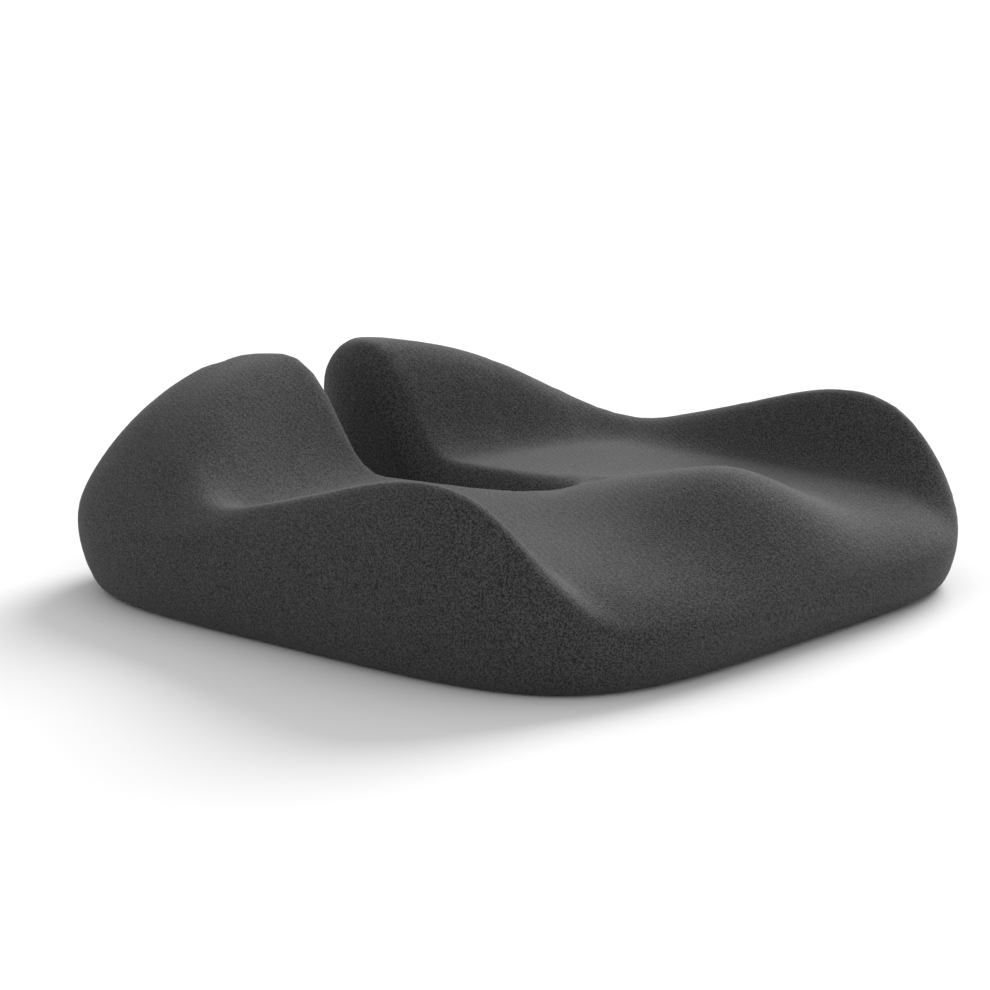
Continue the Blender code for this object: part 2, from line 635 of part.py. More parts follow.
def make_slider(parent):
    """The slider with the bridge that holds its pull."""
    place = (SLIDER_REST_X, ZIP_Y, 0)
    start = -SLIDER_LENGTH / 2
    body = prism([(start, y, z) for y, z in slider_section()], (SLIDER_LENGTH, 0, 0))
    slider = object_from(body, "zip_slider", place)
    outer, half_y = BRIDGE_LENGTH / 2, BRIDGE_WIDTH / 2
    window_low = SLIDER_LOWER_Z - BRIDGE_WINDOW
    rooted = SLIDER_LOWER_Z + SLIDER_LOWER_THICKNESS / 2
    inner = outer - BRIDGE_LEG
    arch = [
        (-outer, rooted),
        (-outer, window_low - BRIDGE_BEAM),
        (outer, window_low - BRIDGE_BEAM),
        (outer, rooted),
        (inner, rooted),
        (inner, window_low),
        (-inner, window_low),
        (-inner, rooted),
    ]
    bridge = prism([(x, -half_y, z) for x, z in arch], (0, BRIDGE_WIDTH, 0))
    combine(slider, object_from(bridge, "slider_bridge", place), "UNION")
    return finish(slider, parent, (0.30, 0.30, 0.31), 0.35, 1.0)


def make_pull(parent):
    """The slider's pull: a flat tab with an eye, hung on a round bar."""
    place = (SLIDER_REST_X, ZIP_Y, PULL_AXIS_Z)
    head, grip = PULL_HEAD_WIDTH / 2, PULL_GRIP_WIDTH / 2
    chamfer = PULL_GRIP_WIDTH / 4
    side = [
        (0, head),
        (-PULL_HEAD_LENGTH + chamfer, head),
        (-PULL_HEAD_LENGTH, grip),
        (-PULL_LENGTH + chamfer, grip),
        (-PULL_LENGTH, grip - chamfer),
    ]
    outline = side + [(x, -y) for x, y in reversed(side)]
    low = -PULL_THICKNESS / 2
    tab = prism([(x, y, low) for x, y in outline], (0, 0, PULL_THICKNESS))
    pull = object_from(tab, "zip_pull", place)
    eye = PULL_EYE_WIDTH / 2
    window = box((-PULL_EYE_LENGTH, -eye, 2 * low), (PULL_BAR_RADIUS, eye, -2 * low))
    combine(pull, object_from(window, "pull_eye", place), "DIFFERENCE")
    turns = [2 * pi * k / BAR_SIDES for k in range(BAR_SIDES)]
    ring = [(PULL_BAR_RADIUS * cos(a), -head, PULL_BAR_RADIUS * sin(a)) for a in turns]
    combine(pull, object_from(prism(ring, (0, 2 * head, 0)), "pull_bar", place), "UNION")
    return finish(pull, parent, (0.30, 0.30, 0.31), 0.35, 1.0)


def make_care_label(parent):
    """The blank label sewn inside the cover, over the rear tape."""
    low_y = ZIP_Y + SLIDER_HALF_WIDTH + 2 * PIECE_GAP
    low = (LABEL_X - LABEL_LENGTH / 2, low_y, TAPE_TOP + PIECE_GAP)
    high = (LABEL_X + LABEL_LENGTH / 2, low_y + LABEL_WIDTH, low[2] + LABEL_THICKNESS)
    return finish(object_from(box(low, high), "care_label"), parent, (0.85, 0.85, 0.83), 0.7)


def empty(name, parent=None, location=(0, 0, 0)):
    """A placing empty, with its location given in the world."""
    obj = bpy.data.objects.new(name, None)
    obj.location = location
    if parent:
        obj.parent = parent
        obj.location = Vector(location) - parent.location
    bpy.context.scene.collection.objects.link(obj)
    return obj


def main():
    """Clears the scene and builds every piece of the cushion."""
    for obj in list(bpy.data.objects):
        bpy.data.objects.remove(obj, do_unlink=True)
    cushion = empty("cushion_root")
    make_foam_core(cushion)
    make_inner_liner(cushion)
    make_liner_seam(cushion)
    make_outer_cover(cushion)
    make_base_seam(cushion)
    make_base_panel(cushion, "base_panel_front", -1)
    make_base_panel(cushion, "base_panel_rear", 1)
    make_end_tab(cushion, "zip_end_tab_left", -1)
    make_end_tab(cushion, "zip_end_tab_right", 1)
    make_zip_side(cushion, "front", -1)
    make_zip_side(cushion, "rear", 1)
    make_bottom_stop(cushion)
    make_care_label(cushion)
    slide = empty("zip_slide_root", cushion, (SLIDER_REST_X, ZIP_Y, 0))
    make_slider(slide)
    make_pull(slide)


main()
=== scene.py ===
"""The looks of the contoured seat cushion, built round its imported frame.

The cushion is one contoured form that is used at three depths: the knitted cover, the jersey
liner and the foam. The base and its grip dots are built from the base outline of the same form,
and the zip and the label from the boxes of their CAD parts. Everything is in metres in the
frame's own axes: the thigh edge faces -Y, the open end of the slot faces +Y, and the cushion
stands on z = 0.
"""

import logging
from dataclasses import dataclass, field
from enum import Enum
from math import cos, exp, hypot, pi, radians, sin, sqrt
from typing import Any

import bmesh
import bpy
import numpy as np
from mathutils import Matrix, Vector, kdtree


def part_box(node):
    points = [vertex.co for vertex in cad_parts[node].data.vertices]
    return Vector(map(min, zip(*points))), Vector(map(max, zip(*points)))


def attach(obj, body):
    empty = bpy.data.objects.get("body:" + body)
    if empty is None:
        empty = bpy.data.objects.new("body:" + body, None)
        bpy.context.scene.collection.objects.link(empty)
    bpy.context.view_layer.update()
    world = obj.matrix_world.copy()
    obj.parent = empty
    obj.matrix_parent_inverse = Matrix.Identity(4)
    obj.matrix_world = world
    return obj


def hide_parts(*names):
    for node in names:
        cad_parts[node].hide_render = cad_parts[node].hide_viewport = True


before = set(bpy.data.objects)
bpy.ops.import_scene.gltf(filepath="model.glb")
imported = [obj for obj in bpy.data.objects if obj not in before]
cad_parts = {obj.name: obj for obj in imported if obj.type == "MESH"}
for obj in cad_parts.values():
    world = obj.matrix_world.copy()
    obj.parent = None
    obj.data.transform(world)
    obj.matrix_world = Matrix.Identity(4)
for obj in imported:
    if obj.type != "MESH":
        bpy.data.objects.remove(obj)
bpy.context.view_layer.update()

MM = 0.001
TINY = 1e-7
WELD = 1e-6
CHAIN_GAP_HALF = 0.55 * MM

log = logging.getLogger("cushion")


# ---------------------------------------------------------------- shader maths


class Wire:
    """A shader socket that Python's arithmetic works on; each operation adds one Math node."""

    def __init__(self, sheet: "MaterialSheet", socket: bpy.types.NodeSocket) -> None:
        """Holds an output socket of a material sheet."""
        self.sheet = sheet
        self.socket = socket

    def math(self, operation: str, *others: Any) -> "Wire":
        """Adds a Math node.

        Args:
            operation: Blender's name of the operation.
            others: the further operands, each a Wire or a number.

        Returns:
            The node's result.
        """
        inputs = dict(enumerate((self, *others)))
        return self.sheet.node("ShaderNodeMath", {"operation": operation}, inputs)

    def __add__(self, other: Any) -> "Wire":
        """self + other."""
        return self.math("ADD", other)

    __radd__ = __add__

    def __sub__(self, other: Any) -> "Wire":
        """self - other."""
        return self.math("SUBTRACT", other)

    def __rsub__(self, other: float) -> "Wire":
        """other - self."""
        return self.math("MULTIPLY_ADD", -1.0, other)

    def __mul__(self, other: Any) -> "Wire":
        """self * other."""
        return self.math("MULTIPLY", other)

    __rmul__ = __mul__

    def sine(self) -> "Wire":
        """The sine of an angle in radians."""
        return self.math("SINE")

    def size(self) -> "Wire":
        """The value without its sign."""
        return self.math("ABSOLUTE")

    def above(self, low: float, high: float) -> "Wire":
        """Rises smoothly from 0 at low to 1 at high."""
        settings = {"interpolation_type": "SMOOTHSTEP"}
        inputs = {"Value": self, "From Min": low, "From Max": high}
        return self.sheet.node("ShaderNodeMapRange", settings, inputs)


class MaterialSheet:
    """One material's node tree, with a Principled BSDF at its end."""

    def __init__(self, name: str, roughness: float, metallic: float = 0.0) -> None:
        """Starts a material with constant values on its shader."""
        self.material = bpy.data.materials.new(name)
        self.material.use_nodes = True
        self.tree = self.material.node_tree
        self.shader = self.tree.nodes["Principled BSDF"]
        self.shader.inputs["Roughness"].default_value = roughness
        self.shader.inputs["Metallic"].default_value = metallic

    def node(
        self, kind: str, settings: dict[str, Any], inputs: dict[Any, Any], output: Any = 0
    ) -> Wire:
        """Adds a node, sets it up and feeds it.

        Args:
            kind: the node's type.
            settings: its properties.
            inputs: a Wire or a value for each input, by name or number.
            output: the output to hand back, by name or number.

        Returns:
            That output.
        """
        made = self.tree.nodes.new(kind)
        for key, value in settings.items():
            setattr(made, key, value)
        for key, value in inputs.items():
            self.feed(made.inputs[key], value)
        return Wire(self, made.outputs[output])

    def feed(self, socket: bpy.types.NodeSocket, value: Any) -> None:
        """Links a Wire to a socket, or sets a plain value on it."""
        if isinstance(value, Wire):
            self.tree.links.new(value.socket, socket)
        else:
            socket.default_value = value

    def place(self, scale: Any = 1.0) -> Wire:
        """The piece's own solid space, with a scale in patterns per metre, one number or three."""
        scales = scale if isinstance(scale, tuple) else (scale, scale, scale)
        start = self.node("ShaderNodeTexCoord", {}, {}, "Object")
        return self.node("ShaderNodeMapping", {}, {"Vector": start, "Scale": scales})

    def noise(self, place: Wire, detail: float = 2.0, roughness: float = 0.5) -> Wire:
        """Noise from 0 to 1, with one lump for each unit of place."""
        inputs = {"Vector": place, "Scale": 1.0, "Detail": detail, "Roughness": roughness}
        return self.node("ShaderNodeTexNoise", {"noise_dimensions": "3D"}, inputs)

    def axes(self, place: Wire) -> tuple[Wire, Wire, Wire]:
        """The three components of a place."""
        split = self.node("ShaderNodeSeparateXYZ", {}, {"Vector": place}).socket.node
        return tuple(Wire(self, output) for output in split.outputs)

    def mix(self, share: Wire, first: Any, second: Any) -> Wire:
        """A colour that goes from first to second as share goes from 0 to 1."""
        made = self.tree.nodes.new("ShaderNodeMix")
        made.data_type = "RGBA"
        colours = [s for s in made.inputs if s.type == "RGBA"]
        self.feed(made.inputs["Factor"], share)
        for socket, value in zip(colours, (first, second)):
            self.feed(socket, (*value, 1.0) if isinstance(value, tuple) else value)
        return Wire(self, next(s for s in made.outputs if s.type == "RGBA"))

    def bump(self, height: Wire, depth: float) -> None:
        """Feeds the shader's normal from a height field of the given depth in metres."""
        inputs = {"Height": height, "Distance": depth, "Strength": 1.0}
        self.feed(self.shader.inputs["Normal"], self.node("ShaderNodeBump", {}, inputs, "Normal"))

    def set(self, **constants: Any) -> None:
        """Sets constants on the shader; underscores in a name stand for spaces."""
        for key, value in constants.items():
            self.shader.inputs[key.replace("_", " ")].default_value = value


# ---------------------------------------------------------------- finishes


@dataclass(frozen=True)
class KnitFinish:
    """Charcoal melange knit with faint slanting ribs."""

    name: str = "charcoal_knit"
    slot: str = "knit"
    dark: tuple[float, float, float] = (0.008, 0.008, 0.0085)
    light: tuple[float, float, float] = (0.074, 0.074, 0.077)
    fleck: float = 0.95 * MM
    fibre: float = 0.45 * MM
    rib_pitch: float = 3.0 * MM
    rib_run: tuple[float, float, float] = (0.62, -0.46, 0.78)
    relief: float = 0.35 * MM

    def material(self) -> bpy.types.Material:
        """The finish as a material."""
        sheet = MaterialSheet(self.name, 0.95)
        sheet.set(Sheen_Weight=0.08, Sheen_Roughness=0.5, Specular_IOR_Level=0.2)
        flecks = sheet.noise(sheet.place(1 / self.fleck), 1.5, 0.6)
        fibres = sheet.noise(sheet.place(1 / self.fibre), 1.0)
        waver = sheet.noise(sheet.place(1 / (8 * MM)), 1.0)
        x, y, z = sheet.axes(sheet.place(2 * pi / self.rib_pitch))
        run_x, run_y, run_z = self.rib_run
        rib = (x * run_x + y * run_y + z * run_z + waver * 2.4).sine() * 0.5 + 0.5
        clouds = sheet.noise(sheet.place(1 / (24 * MM)), 2.0)
        # Flecks, fibres and clouds are the yarn's own uneven melange tone. The rib term paints the
        # rib crests slightly lighter than their grooves, which is a little painted shade.
        shade = flecks.above(0.37, 0.63) * 0.74 + fibres * 0.10 + rib * 0.06 + clouds * 0.10
        sheet.feed(sheet.shader.inputs["Base Color"], sheet.mix(shade, self.dark, self.light))
        sheet.feed(sheet.shader.inputs["Roughness"], 1.0 - shade * 0.12)
        sheet.bump(flecks * 0.6 + rib * 0.12 + fibres * 0.28, self.relief)
        return sheet.material


@dataclass(frozen=True)
class FoamFinish:
    """Moulded memory foam, cream, with fine open pores."""

    name: str = "cream_foam"
    slot: str = "foam"
    tone: tuple[float, float, float] = (0.78, 0.75, 0.66)
    shadow: tuple[float, float, float] = (0.58, 0.54, 0.44)
    pore: float = 1.3 * MM

    def material(self) -> bpy.types.Material:
        """The finish as a material."""
        sheet = MaterialSheet(self.name, 0.9)
        cells = sheet.node(
            "ShaderNodeTexVoronoi", {}, {"Vector": sheet.place(1.0), "Scale": 1 / self.pore}
        )
        pores = 1 - cells.above(0.08, 0.35)
        blotches = sheet.noise(sheet.place(1 / (60 * MM)), 3.0)
        shade = pores * 0.75 + blotches.above(0.4, 0.75) * 0.25
        sheet.feed(sheet.shader.inputs["Base Color"], sheet.mix(shade, self.tone, self.shadow))
        sheet.bump(1 - pores, 0.4 * MM)
        return sheet.material


class Weave(Enum):
    """How the threads of a woven or knitted fabric run."""

    PLAIN = "plain"
    TWILL = "twill"
    JERSEY = "jersey"


@dataclass(frozen=True)
class FabricFinish:
    """A thin fabric whose threads are laid along X and Y."""

    name: str
    slot: str
    dark: tuple[float, float, float]
    light: tuple[float, float, float]
    weave: Weave = Weave.PLAIN
    thread: float = 0.6 * MM
    relief: float = 0.12 * MM
    roughness: float = 0.85

    def material(self) -> bpy.types.Material:
        """The finish as a material."""
        sheet = MaterialSheet(self.name, self.roughness)
        sheet.set(Sheen_Weight=0.2, Specular_IOR_Level=0.3)
        x, y, z = sheet.axes(sheet.place(2 * pi / self.thread))
        if self.weave is Weave.PLAIN:
            height = x.sine() * y.sine() * 0.5 + 0.5
        elif self.weave is Weave.TWILL:
            height = (x + y * 0.5).sine() * 0.35 + (y + x * 0.2).sine().size() * 0.3 + 0.35
        else:
            height = (x + (y * 0.5).sine() * 1.2).sine() * 0.3 + (y + z).sine() * 0.2 + 0.5
        worn = sheet.noise(sheet.place(1 / (7 * MM)), 3.0)
        # The colour follows the weave's height. Thread crowns are painted lighter and the hollows
        # between threads darker, which is painted shade of the weave, with an uneven worn tone
        # mixed in.
        shade = height * 0.7 + worn * 0.3
        sheet.feed(sheet.shader.inputs["Base Color"], sheet.mix(shade, self.dark, self.light))
        sheet.bump(height, self.relief)
        return sheet.material


@dataclass(frozen=True)
class MouldedFinish:
    """Rubber, nylon or thread: one tone with a soft mottle and a fine grain."""

    name: str
    slot: str
    tone: tuple[float, float, float]
    roughness: float
    grain: float = 0.5 * MM
    relief: float = 0.03 * MM
    coat: float = 0.0

    def material(self) -> bpy.types.Material:
        """The finish as a material."""
        sheet = MaterialSheet(self.name, self.roughness)
        sheet.set(Coat_Weight=self.coat)
        mottle = sheet.noise(sheet.place(1 / (6 * self.grain)), 3.0)
        paler = tuple(min(1.0, 1.5 * c + 0.01) for c in self.tone)
        sheet.feed(sheet.shader.inputs["Base Color"], sheet.mix(mottle, self.tone, paler))
        sheet.feed(sheet.shader.inputs["Roughness"], mottle * 0.15 + (self.roughness - 0.07))
        sheet.bump(sheet.noise(sheet.place(1 / self.grain), 2.0), self.relief)
        return sheet.material


@dataclass(frozen=True)
class PlatedFinish:
    """Gunmetal plating, brighter where it is rubbed."""

    name: str = "gunmetal_plating"
    slot: str = "zip_metal"
    tone: tuple[float, float, float] = (0.17, 0.17, 0.18)
    rubbed: tuple[float, float, float] = (0.46, 0.46, 0.48)

    def material(self) -> bpy.types.Material:
        """The finish as a material."""
        sheet = MaterialSheet(self.name, 0.32, 1.0)
        wear = sheet.noise(sheet.place(1 / (1.6 * MM)), 4.0, 0.6).above(0.42, 0.72)
        sheet.feed(sheet.shader.inputs["Base Color"], sheet.mix(wear, self.tone, self.rubbed))
        sheet.feed(sheet.shader.inputs["Roughness"], 0.42 - wear * 0.16)
        scratches = sheet.noise(sheet.place((900.0, 6000.0, 2500.0)), 2.0)
        sheet.bump(scratches, 0.01 * MM)
        return sheet.material


# ---------------------------------------------------------------- mesh helpers


def mesh_object(bm: bmesh.types.BMesh, name: str, sharp: float = 0.8) -> bpy.types.Object:
    """Turns a bmesh into a smooth-shaded object at the origin.

    Args:
        bm: the mesh, which is freed.
        name: the piece's name.
        sharp: the angle in radians from which an edge stays sharp.

    Returns:
        The object.
    """
    mesh = bpy.data.meshes.new(name)
    bm.to_mesh(mesh)
    bm.free()
    mesh.shade_smooth()
    mesh.set_sharp_from_angle(angle=sharp)
    obj = bpy.data.objects.new(name, mesh)
    bpy.context.scene.collection.objects.link(obj)
    return obj


def bake_modifiers(obj: bpy.types.Object) -> None:
    """Replaces an object's mesh by what its modifiers make of it."""
    graph = bpy.context.evaluated_depsgraph_get()
    mesh = bpy.data.meshes.new_from_object(obj.evaluated_get(graph), depsgraph=graph)
    obj.modifiers.clear()
    obj.data = mesh


def box_bmesh(low: Vector, high: Vector) -> bmesh.types.BMesh:
    """A box between two corners."""
    bm = bmesh.new()
    bmesh.ops.create_cube(bm, size=1.0)
    bmesh.ops.scale(bm, vec=high - low, verts=bm.verts)
    bmesh.ops.translate(bm, vec=(low + high) / 2, verts=bm.verts)
    return bm


def sweep(bm: bmesh.types.BMesh, move: Vector) -> None:
    """Extrudes all faces of a flat bmesh along move and turns every face outwards."""
    swept = bmesh.ops.extrude_face_region(bm, geom=bm.faces[:])["geom"]
    moved = [item for item in swept if isinstance(item, bmesh.types.BMVert)]
    bmesh.ops.translate(bm, vec=move, verts=moved)
    bmesh.ops.recalc_face_normals(bm, faces=bm.faces[:])


def outline_face(points: list[Vector]) -> bmesh.types.BMesh:
    """A bmesh that holds one flat face."""
    bm = bmesh.new()
    bm.faces.new([bm.verts.new(point) for point in points])
    return bm


def bevel_edges(
    bm: bmesh.types.BMesh,
    edges: list[bmesh.types.BMEdge],
    radius: float,
    segments: int,
    clamp: bool = True,
) -> None:
    """Bevels some edges.

    Args:
        bm: the mesh they belong to.
        edges: the edges.
        radius: how far each bevel reaches from its edge.
        segments: how many faces each bevel has across.
        clamp: whether bevels stop where they would meet.
    """
    bmesh.ops.bevel(
        bm,
        geom=edges,
        offset=radius,
        offset_type="OFFSET",
        segments=segments,
        profile=0.5,
        affect="EDGES",
        clamp_overlap=clamp,
        material=-1,
    )


def round_edges(
    bm: bmesh.types.BMesh, radius: float, segments: int = 2, angle: float = 0.5
) -> None:
    """Bevels the edges that are sharper than angle."""
    sharp = [e for e in bm.edges if len(e.link_faces) == 2 and e.calc_face_angle(0.0) > angle]
    bevel_edges(bm, sharp, radius, segments)


def absorb(bm: bmesh.types.BMesh, other: bmesh.types.BMesh) -> None:
    """Adds another bmesh's faces to bm and frees the other."""
    passing = bpy.data.meshes.new("passing")
    other.to_mesh(passing)
    other.free()
    bm.from_mesh(passing)
    bpy.data.meshes.remove(passing)


def thread_object(name: str, points: list[Vector], radius: float, closed: bool) -> bpy.types.Object:
    """A round thread along points, as a mesh.

    Args:
        name: the piece's name.
        points: what the thread follows.
        radius: the thread's radius.
        closed: whether its end joins its start.

    Returns:
        The mesh object.
    """
    curve = bpy.data.curves.new(name + "_line", "CURVE")
    curve.dimensions = "3D"
    curve.bevel_depth = radius
    curve.bevel_resolution = 0
    curve.use_fill_caps = not closed
    line = curve.splines.new("POLY")
    line.points.add(len(points) - 1)
    line.points.foreach_set("co", [c for p in points for c in (*p, 1.0)])
    line.use_cyclic_u = closed
    holder = bpy.data.objects.new(name + "_line", curve)
    bpy.context.scene.collection.objects.link(holder)
    graph = bpy.context.evaluated_depsgraph_get()
    mesh = bpy.data.meshes.new_from_object(holder.evaluated_get(graph), depsgraph=graph)
    bpy.data.objects.remove(holder, do_unlink=True)
    mesh.name = name
    mesh.shade_smooth()
    obj = bpy.data.objects.new(name, mesh)
    bpy.context.scene.collection.objects.link(obj)
    return obj


# ---------------------------------------------------------------- the contoured form


def smooth(t: float) -> float:
    """Rises from 0 to 1 as t does, with no kink at either end."""
    c = min(max(t, 0.0), 1.0)
    return c**3 * (c * (6 * c - 15) + 10)


def bell(offset: float, reach_before: float, reach_after: float) -> float:
    """A hump of height 1 at offset 0, with its own reach on each side."""
    reach = reach_before if offset < 0 else reach_after
    return exp(-((offset / reach) ** 2))


def mirrored(point: Vector) -> Vector:
    """The point on the other side of the middle plane."""
    return Vector((-point.x, point.y, point.z))


def inward_directions(points: list[Vector], closed: bool) -> list[Vector]:
    """Unit plan directions into the material at points that run anticlockwise round it."""
    directions = []
    for index, point in enumerate(points):
        before = points[index - 1] if index or closed else mirrored(points[1])
        last = index == len(points) - 1
        after = mirrored(points[-2]) if last and not closed else points[(index + 1) % len(points)]
        tangent = (after - before).xy.normalized()
        directions.append(Vector((-tangent.y, tangent.x, 0)))
    return directions


@dataclass(frozen=True)
class CushionForm:
    """The contoured outer surface: outline, heights, rounding, walls and slot."""

    half_width: float = 215 * MM
    half_depth: float = 224.5 * MM
    corner_power: float = 4.3
    rear_taper: float = -0.019
    seat_height: float = 59.0 * MM
    front_height: float = 56.5 * MM
    wing_inner_height: float = 129.5 * MM
    wing_outer_height: float = 51.5 * MM
    bolster_rise: float = 75.5 * MM
    pommel_rise: float = 33.5 * MM
    front_roll_depth: float = 150.5 * MM
    wing_foot_from_rear: float = 145 * MM
    wing_crest_from_rear: float = 60 * MM
    wing_foot_bow: float = 64 * MM
    wing_fall_power: float = 2.7
    bolster_width: float = 64.5 * MM
    bolster_peak_from_front: float = 91.0 * MM
    bolster_reach_front: float = 78.5 * MM
    bolster_reach_rear: float = 146 * MM
    pommel_half_width: float = 60.0 * MM
    pommel_peak_from_front: float = 41.5 * MM
    pommel_reach_front: float = 64.0 * MM
    pommel_reach_rear: float = 117.5 * MM
    side_round: float = 44.5 * MM
    front_round: float = 93.5 * MM
    rear_round: float = 48 * MM
    slot_round: float = 20 * MM
    round_power: float = 1.75
    front_round_power: float = 2.02
    girth_height: float = 58.5 * MM
    girth_drop_rear: float = 13.5 * MM
    girth_drop_front: float = 33.5 * MM
    girth_front_run: float = 135 * MM
    girth_drop_run: float = 269 * MM
    wall_tuck_front: float = 17.0 * MM
    wall_tuck_rear: float = 20 * MM
    wall_tuck_slot: float = 8 * MM
    slot_length: float = 251.5 * MM
    slot_nose_radius: float = 5 * MM
    slot_mouth_half_width: float = 26 * MM
    slot_wall_height: float = 28.5 * MM
    slot_corner_radius: float = 68 * MM
    slot_blend: float = 30 * MM
    slot_share_start: float = 0.12
    slot_share_span: float = 0.76
    side_power: int = 8
    edge_meeting_power: int = 6
    base_height: float = 0.7 * MM

    @property
    def nose_y(self) -> float:
        """Where the slot starts."""
        return self.half_depth - self.slot_length

    def top_height(self, x: float, y: float) -> float:
        """Height of the contoured top over x, y, before its edges are rounded."""
        across = abs(x) / self.half_width
        from_front = y + self.half_depth
        roll = smooth((self.front_roll_depth - from_front) / self.front_roll_depth)
        level = self.seat_height + (self.front_height - self.seat_height) * roll
        fall = across**self.wing_fall_power
        crest = self.wing_inner_height + (self.wing_outer_height - self.wing_inner_height) * fall
        foot_y = self.half_depth - self.wing_foot_from_rear - self.wing_foot_bow * across**2
        climb = smooth((y - foot_y) / (self.wing_foot_from_rear - self.wing_crest_from_rear))
        bolster = smooth((abs(x) - self.half_width + self.bolster_width) / self.bolster_width)
        bolster *= bell(
            from_front - self.bolster_peak_from_front,
            self.bolster_reach_front,
            self.bolster_reach_rear,
        )
        pommel = bell(x, self.pommel_half_width, self.pommel_half_width) * bell(
            from_front - self.pommel_peak_from_front,
            self.pommel_reach_front,
            self.pommel_reach_rear,
        )
        raised = (crest - self.seat_height) * climb + self.bolster_rise * bolster
        return level + raised + self.pommel_rise * pommel

    def slot_half_width(self, y: float) -> float:
        """Half the slot's width at its upper edge: a round nose that widens to the mouth."""
        radius = self.slot_nose_radius
        centre_y = self.nose_y + radius
        if y < self.nose_y:
            return 0.0
        if y < centre_y:
            return sqrt(max(radius**2 - (centre_y - y) ** 2, 0.0))
        widening = (y - centre_y) / (self.half_depth - centre_y)
        return radius + (self.slot_mouth_half_width - radius) * widening

    def outline_point(self, u: float, v: float) -> tuple[float, float]:
        """Plan position of the square coordinates u (0 to 1) and v (-1 to 1), with no slot."""
        reach = max(u, abs(v))
        power = self.corner_power
        power_sum = (u**power + abs(v) ** power) ** (1 / power)
        ratio = reach / power_sum if power_sum > TINY else 1.0
        return self.half_width * u * ratio * (1 + self.rear_taper * v), self.half_depth * v * ratio

    @staticmethod
    def edge_profile(distance: float, rounding: float, power: float) -> float:
        """Share of the full height at a distance in from an edge."""
        t = min(max(distance / rounding, 0.0), 1.0)
        return (1 - (1 - t) ** power) ** (1 / power)

    def surface_point(self, u: float, v: float) -> tuple[Vector, float]:
        """A point of the top surface.

        Args:
            u: 0 in the middle or at the slot's edge, 1 at the side.
            v: -1 at the thigh edge, 1 at the rear edge.

        Returns:
            The point, and how much it belongs to the slot's edge, from 0 to 1.
        """
        x, y = self.outline_point(u, v)
        x_side = max(self.outline_point(1.0, v)[0], TINY)
        slot = self.slot_half_width(y)
        x = slot + x / x_side * (x_side - slot)
        edge_distance = (1 - max(u, abs(v))) * (self.half_width + self.half_depth) / 2
        centre_y = self.nose_y + self.slot_nose_radius
        reach = hypot(x, min(0.0, y - centre_y))
        slot_distance = max(reach - max(slot, self.slot_nose_radius), 0.0)
        corner = self.slot_corner_radius
        from_slot = 1 - (x - slot) / corner
        from_rear = 1 - (1 - v) * self.half_depth / corner
        if from_slot > 0 and from_rear > 0 and y > centre_y:
            squeeze = max(from_slot, from_rear) / hypot(from_slot, from_rear)
            x = slot + corner * (1 - from_slot * squeeze)
            y -= corner * (1 - from_rear * squeeze) - (1 - v) * self.half_depth
        share = (edge_distance + self.slot_blend) ** 2
        share /= share + (slot_distance + self.slot_blend) ** 2
        slotness = smooth((share - self.slot_share_start) / self.slot_share_span)
        sideness = abs(x / self.half_width) ** self.side_power
        sideness /= sideness + abs(y / self.half_depth) ** self.side_power + TINY
        end_round = self.front_round if y < 0 else self.rear_round
        outer_round = self.side_round * sideness + end_round * (1 - sideness)
        rounding = outer_round + (self.slot_round - outer_round) * slotness
        height = self.top_height(x, y)
        drop = smooth((y + self.half_depth / 5) / self.girth_drop_run)
        front_share = (1 - sideness) * smooth(-y / self.girth_front_run)
        girth = self.girth_height - self.girth_drop_rear * drop
        girth -= self.girth_drop_front * front_share
        power = self.round_power + (self.front_round_power - self.round_power) * front_share
        edge_height = girth + (height - self.slot_wall_height - girth) * slotness
        meeting = self.edge_meeting_power
        both = (edge_distance**meeting + slot_distance**meeting) ** (1 / meeting)
        distance = edge_distance * slot_distance / both if both > TINY else 0.0
        z = edge_height + (height - edge_height) * self.edge_profile(distance, rounding, power)
        return Vector((x, y, z)), slotness

    def wall_tuck(self, y: float, slotness: float) -> float:
        """How far the wall pulls in between its widest line and the base."""
        rise = smooth(y / self.half_depth)
        outer = self.wall_tuck_front + (self.wall_tuck_rear - self.wall_tuck_front) * rise
        return outer + (self.wall_tuck_slot - outer) * slotness


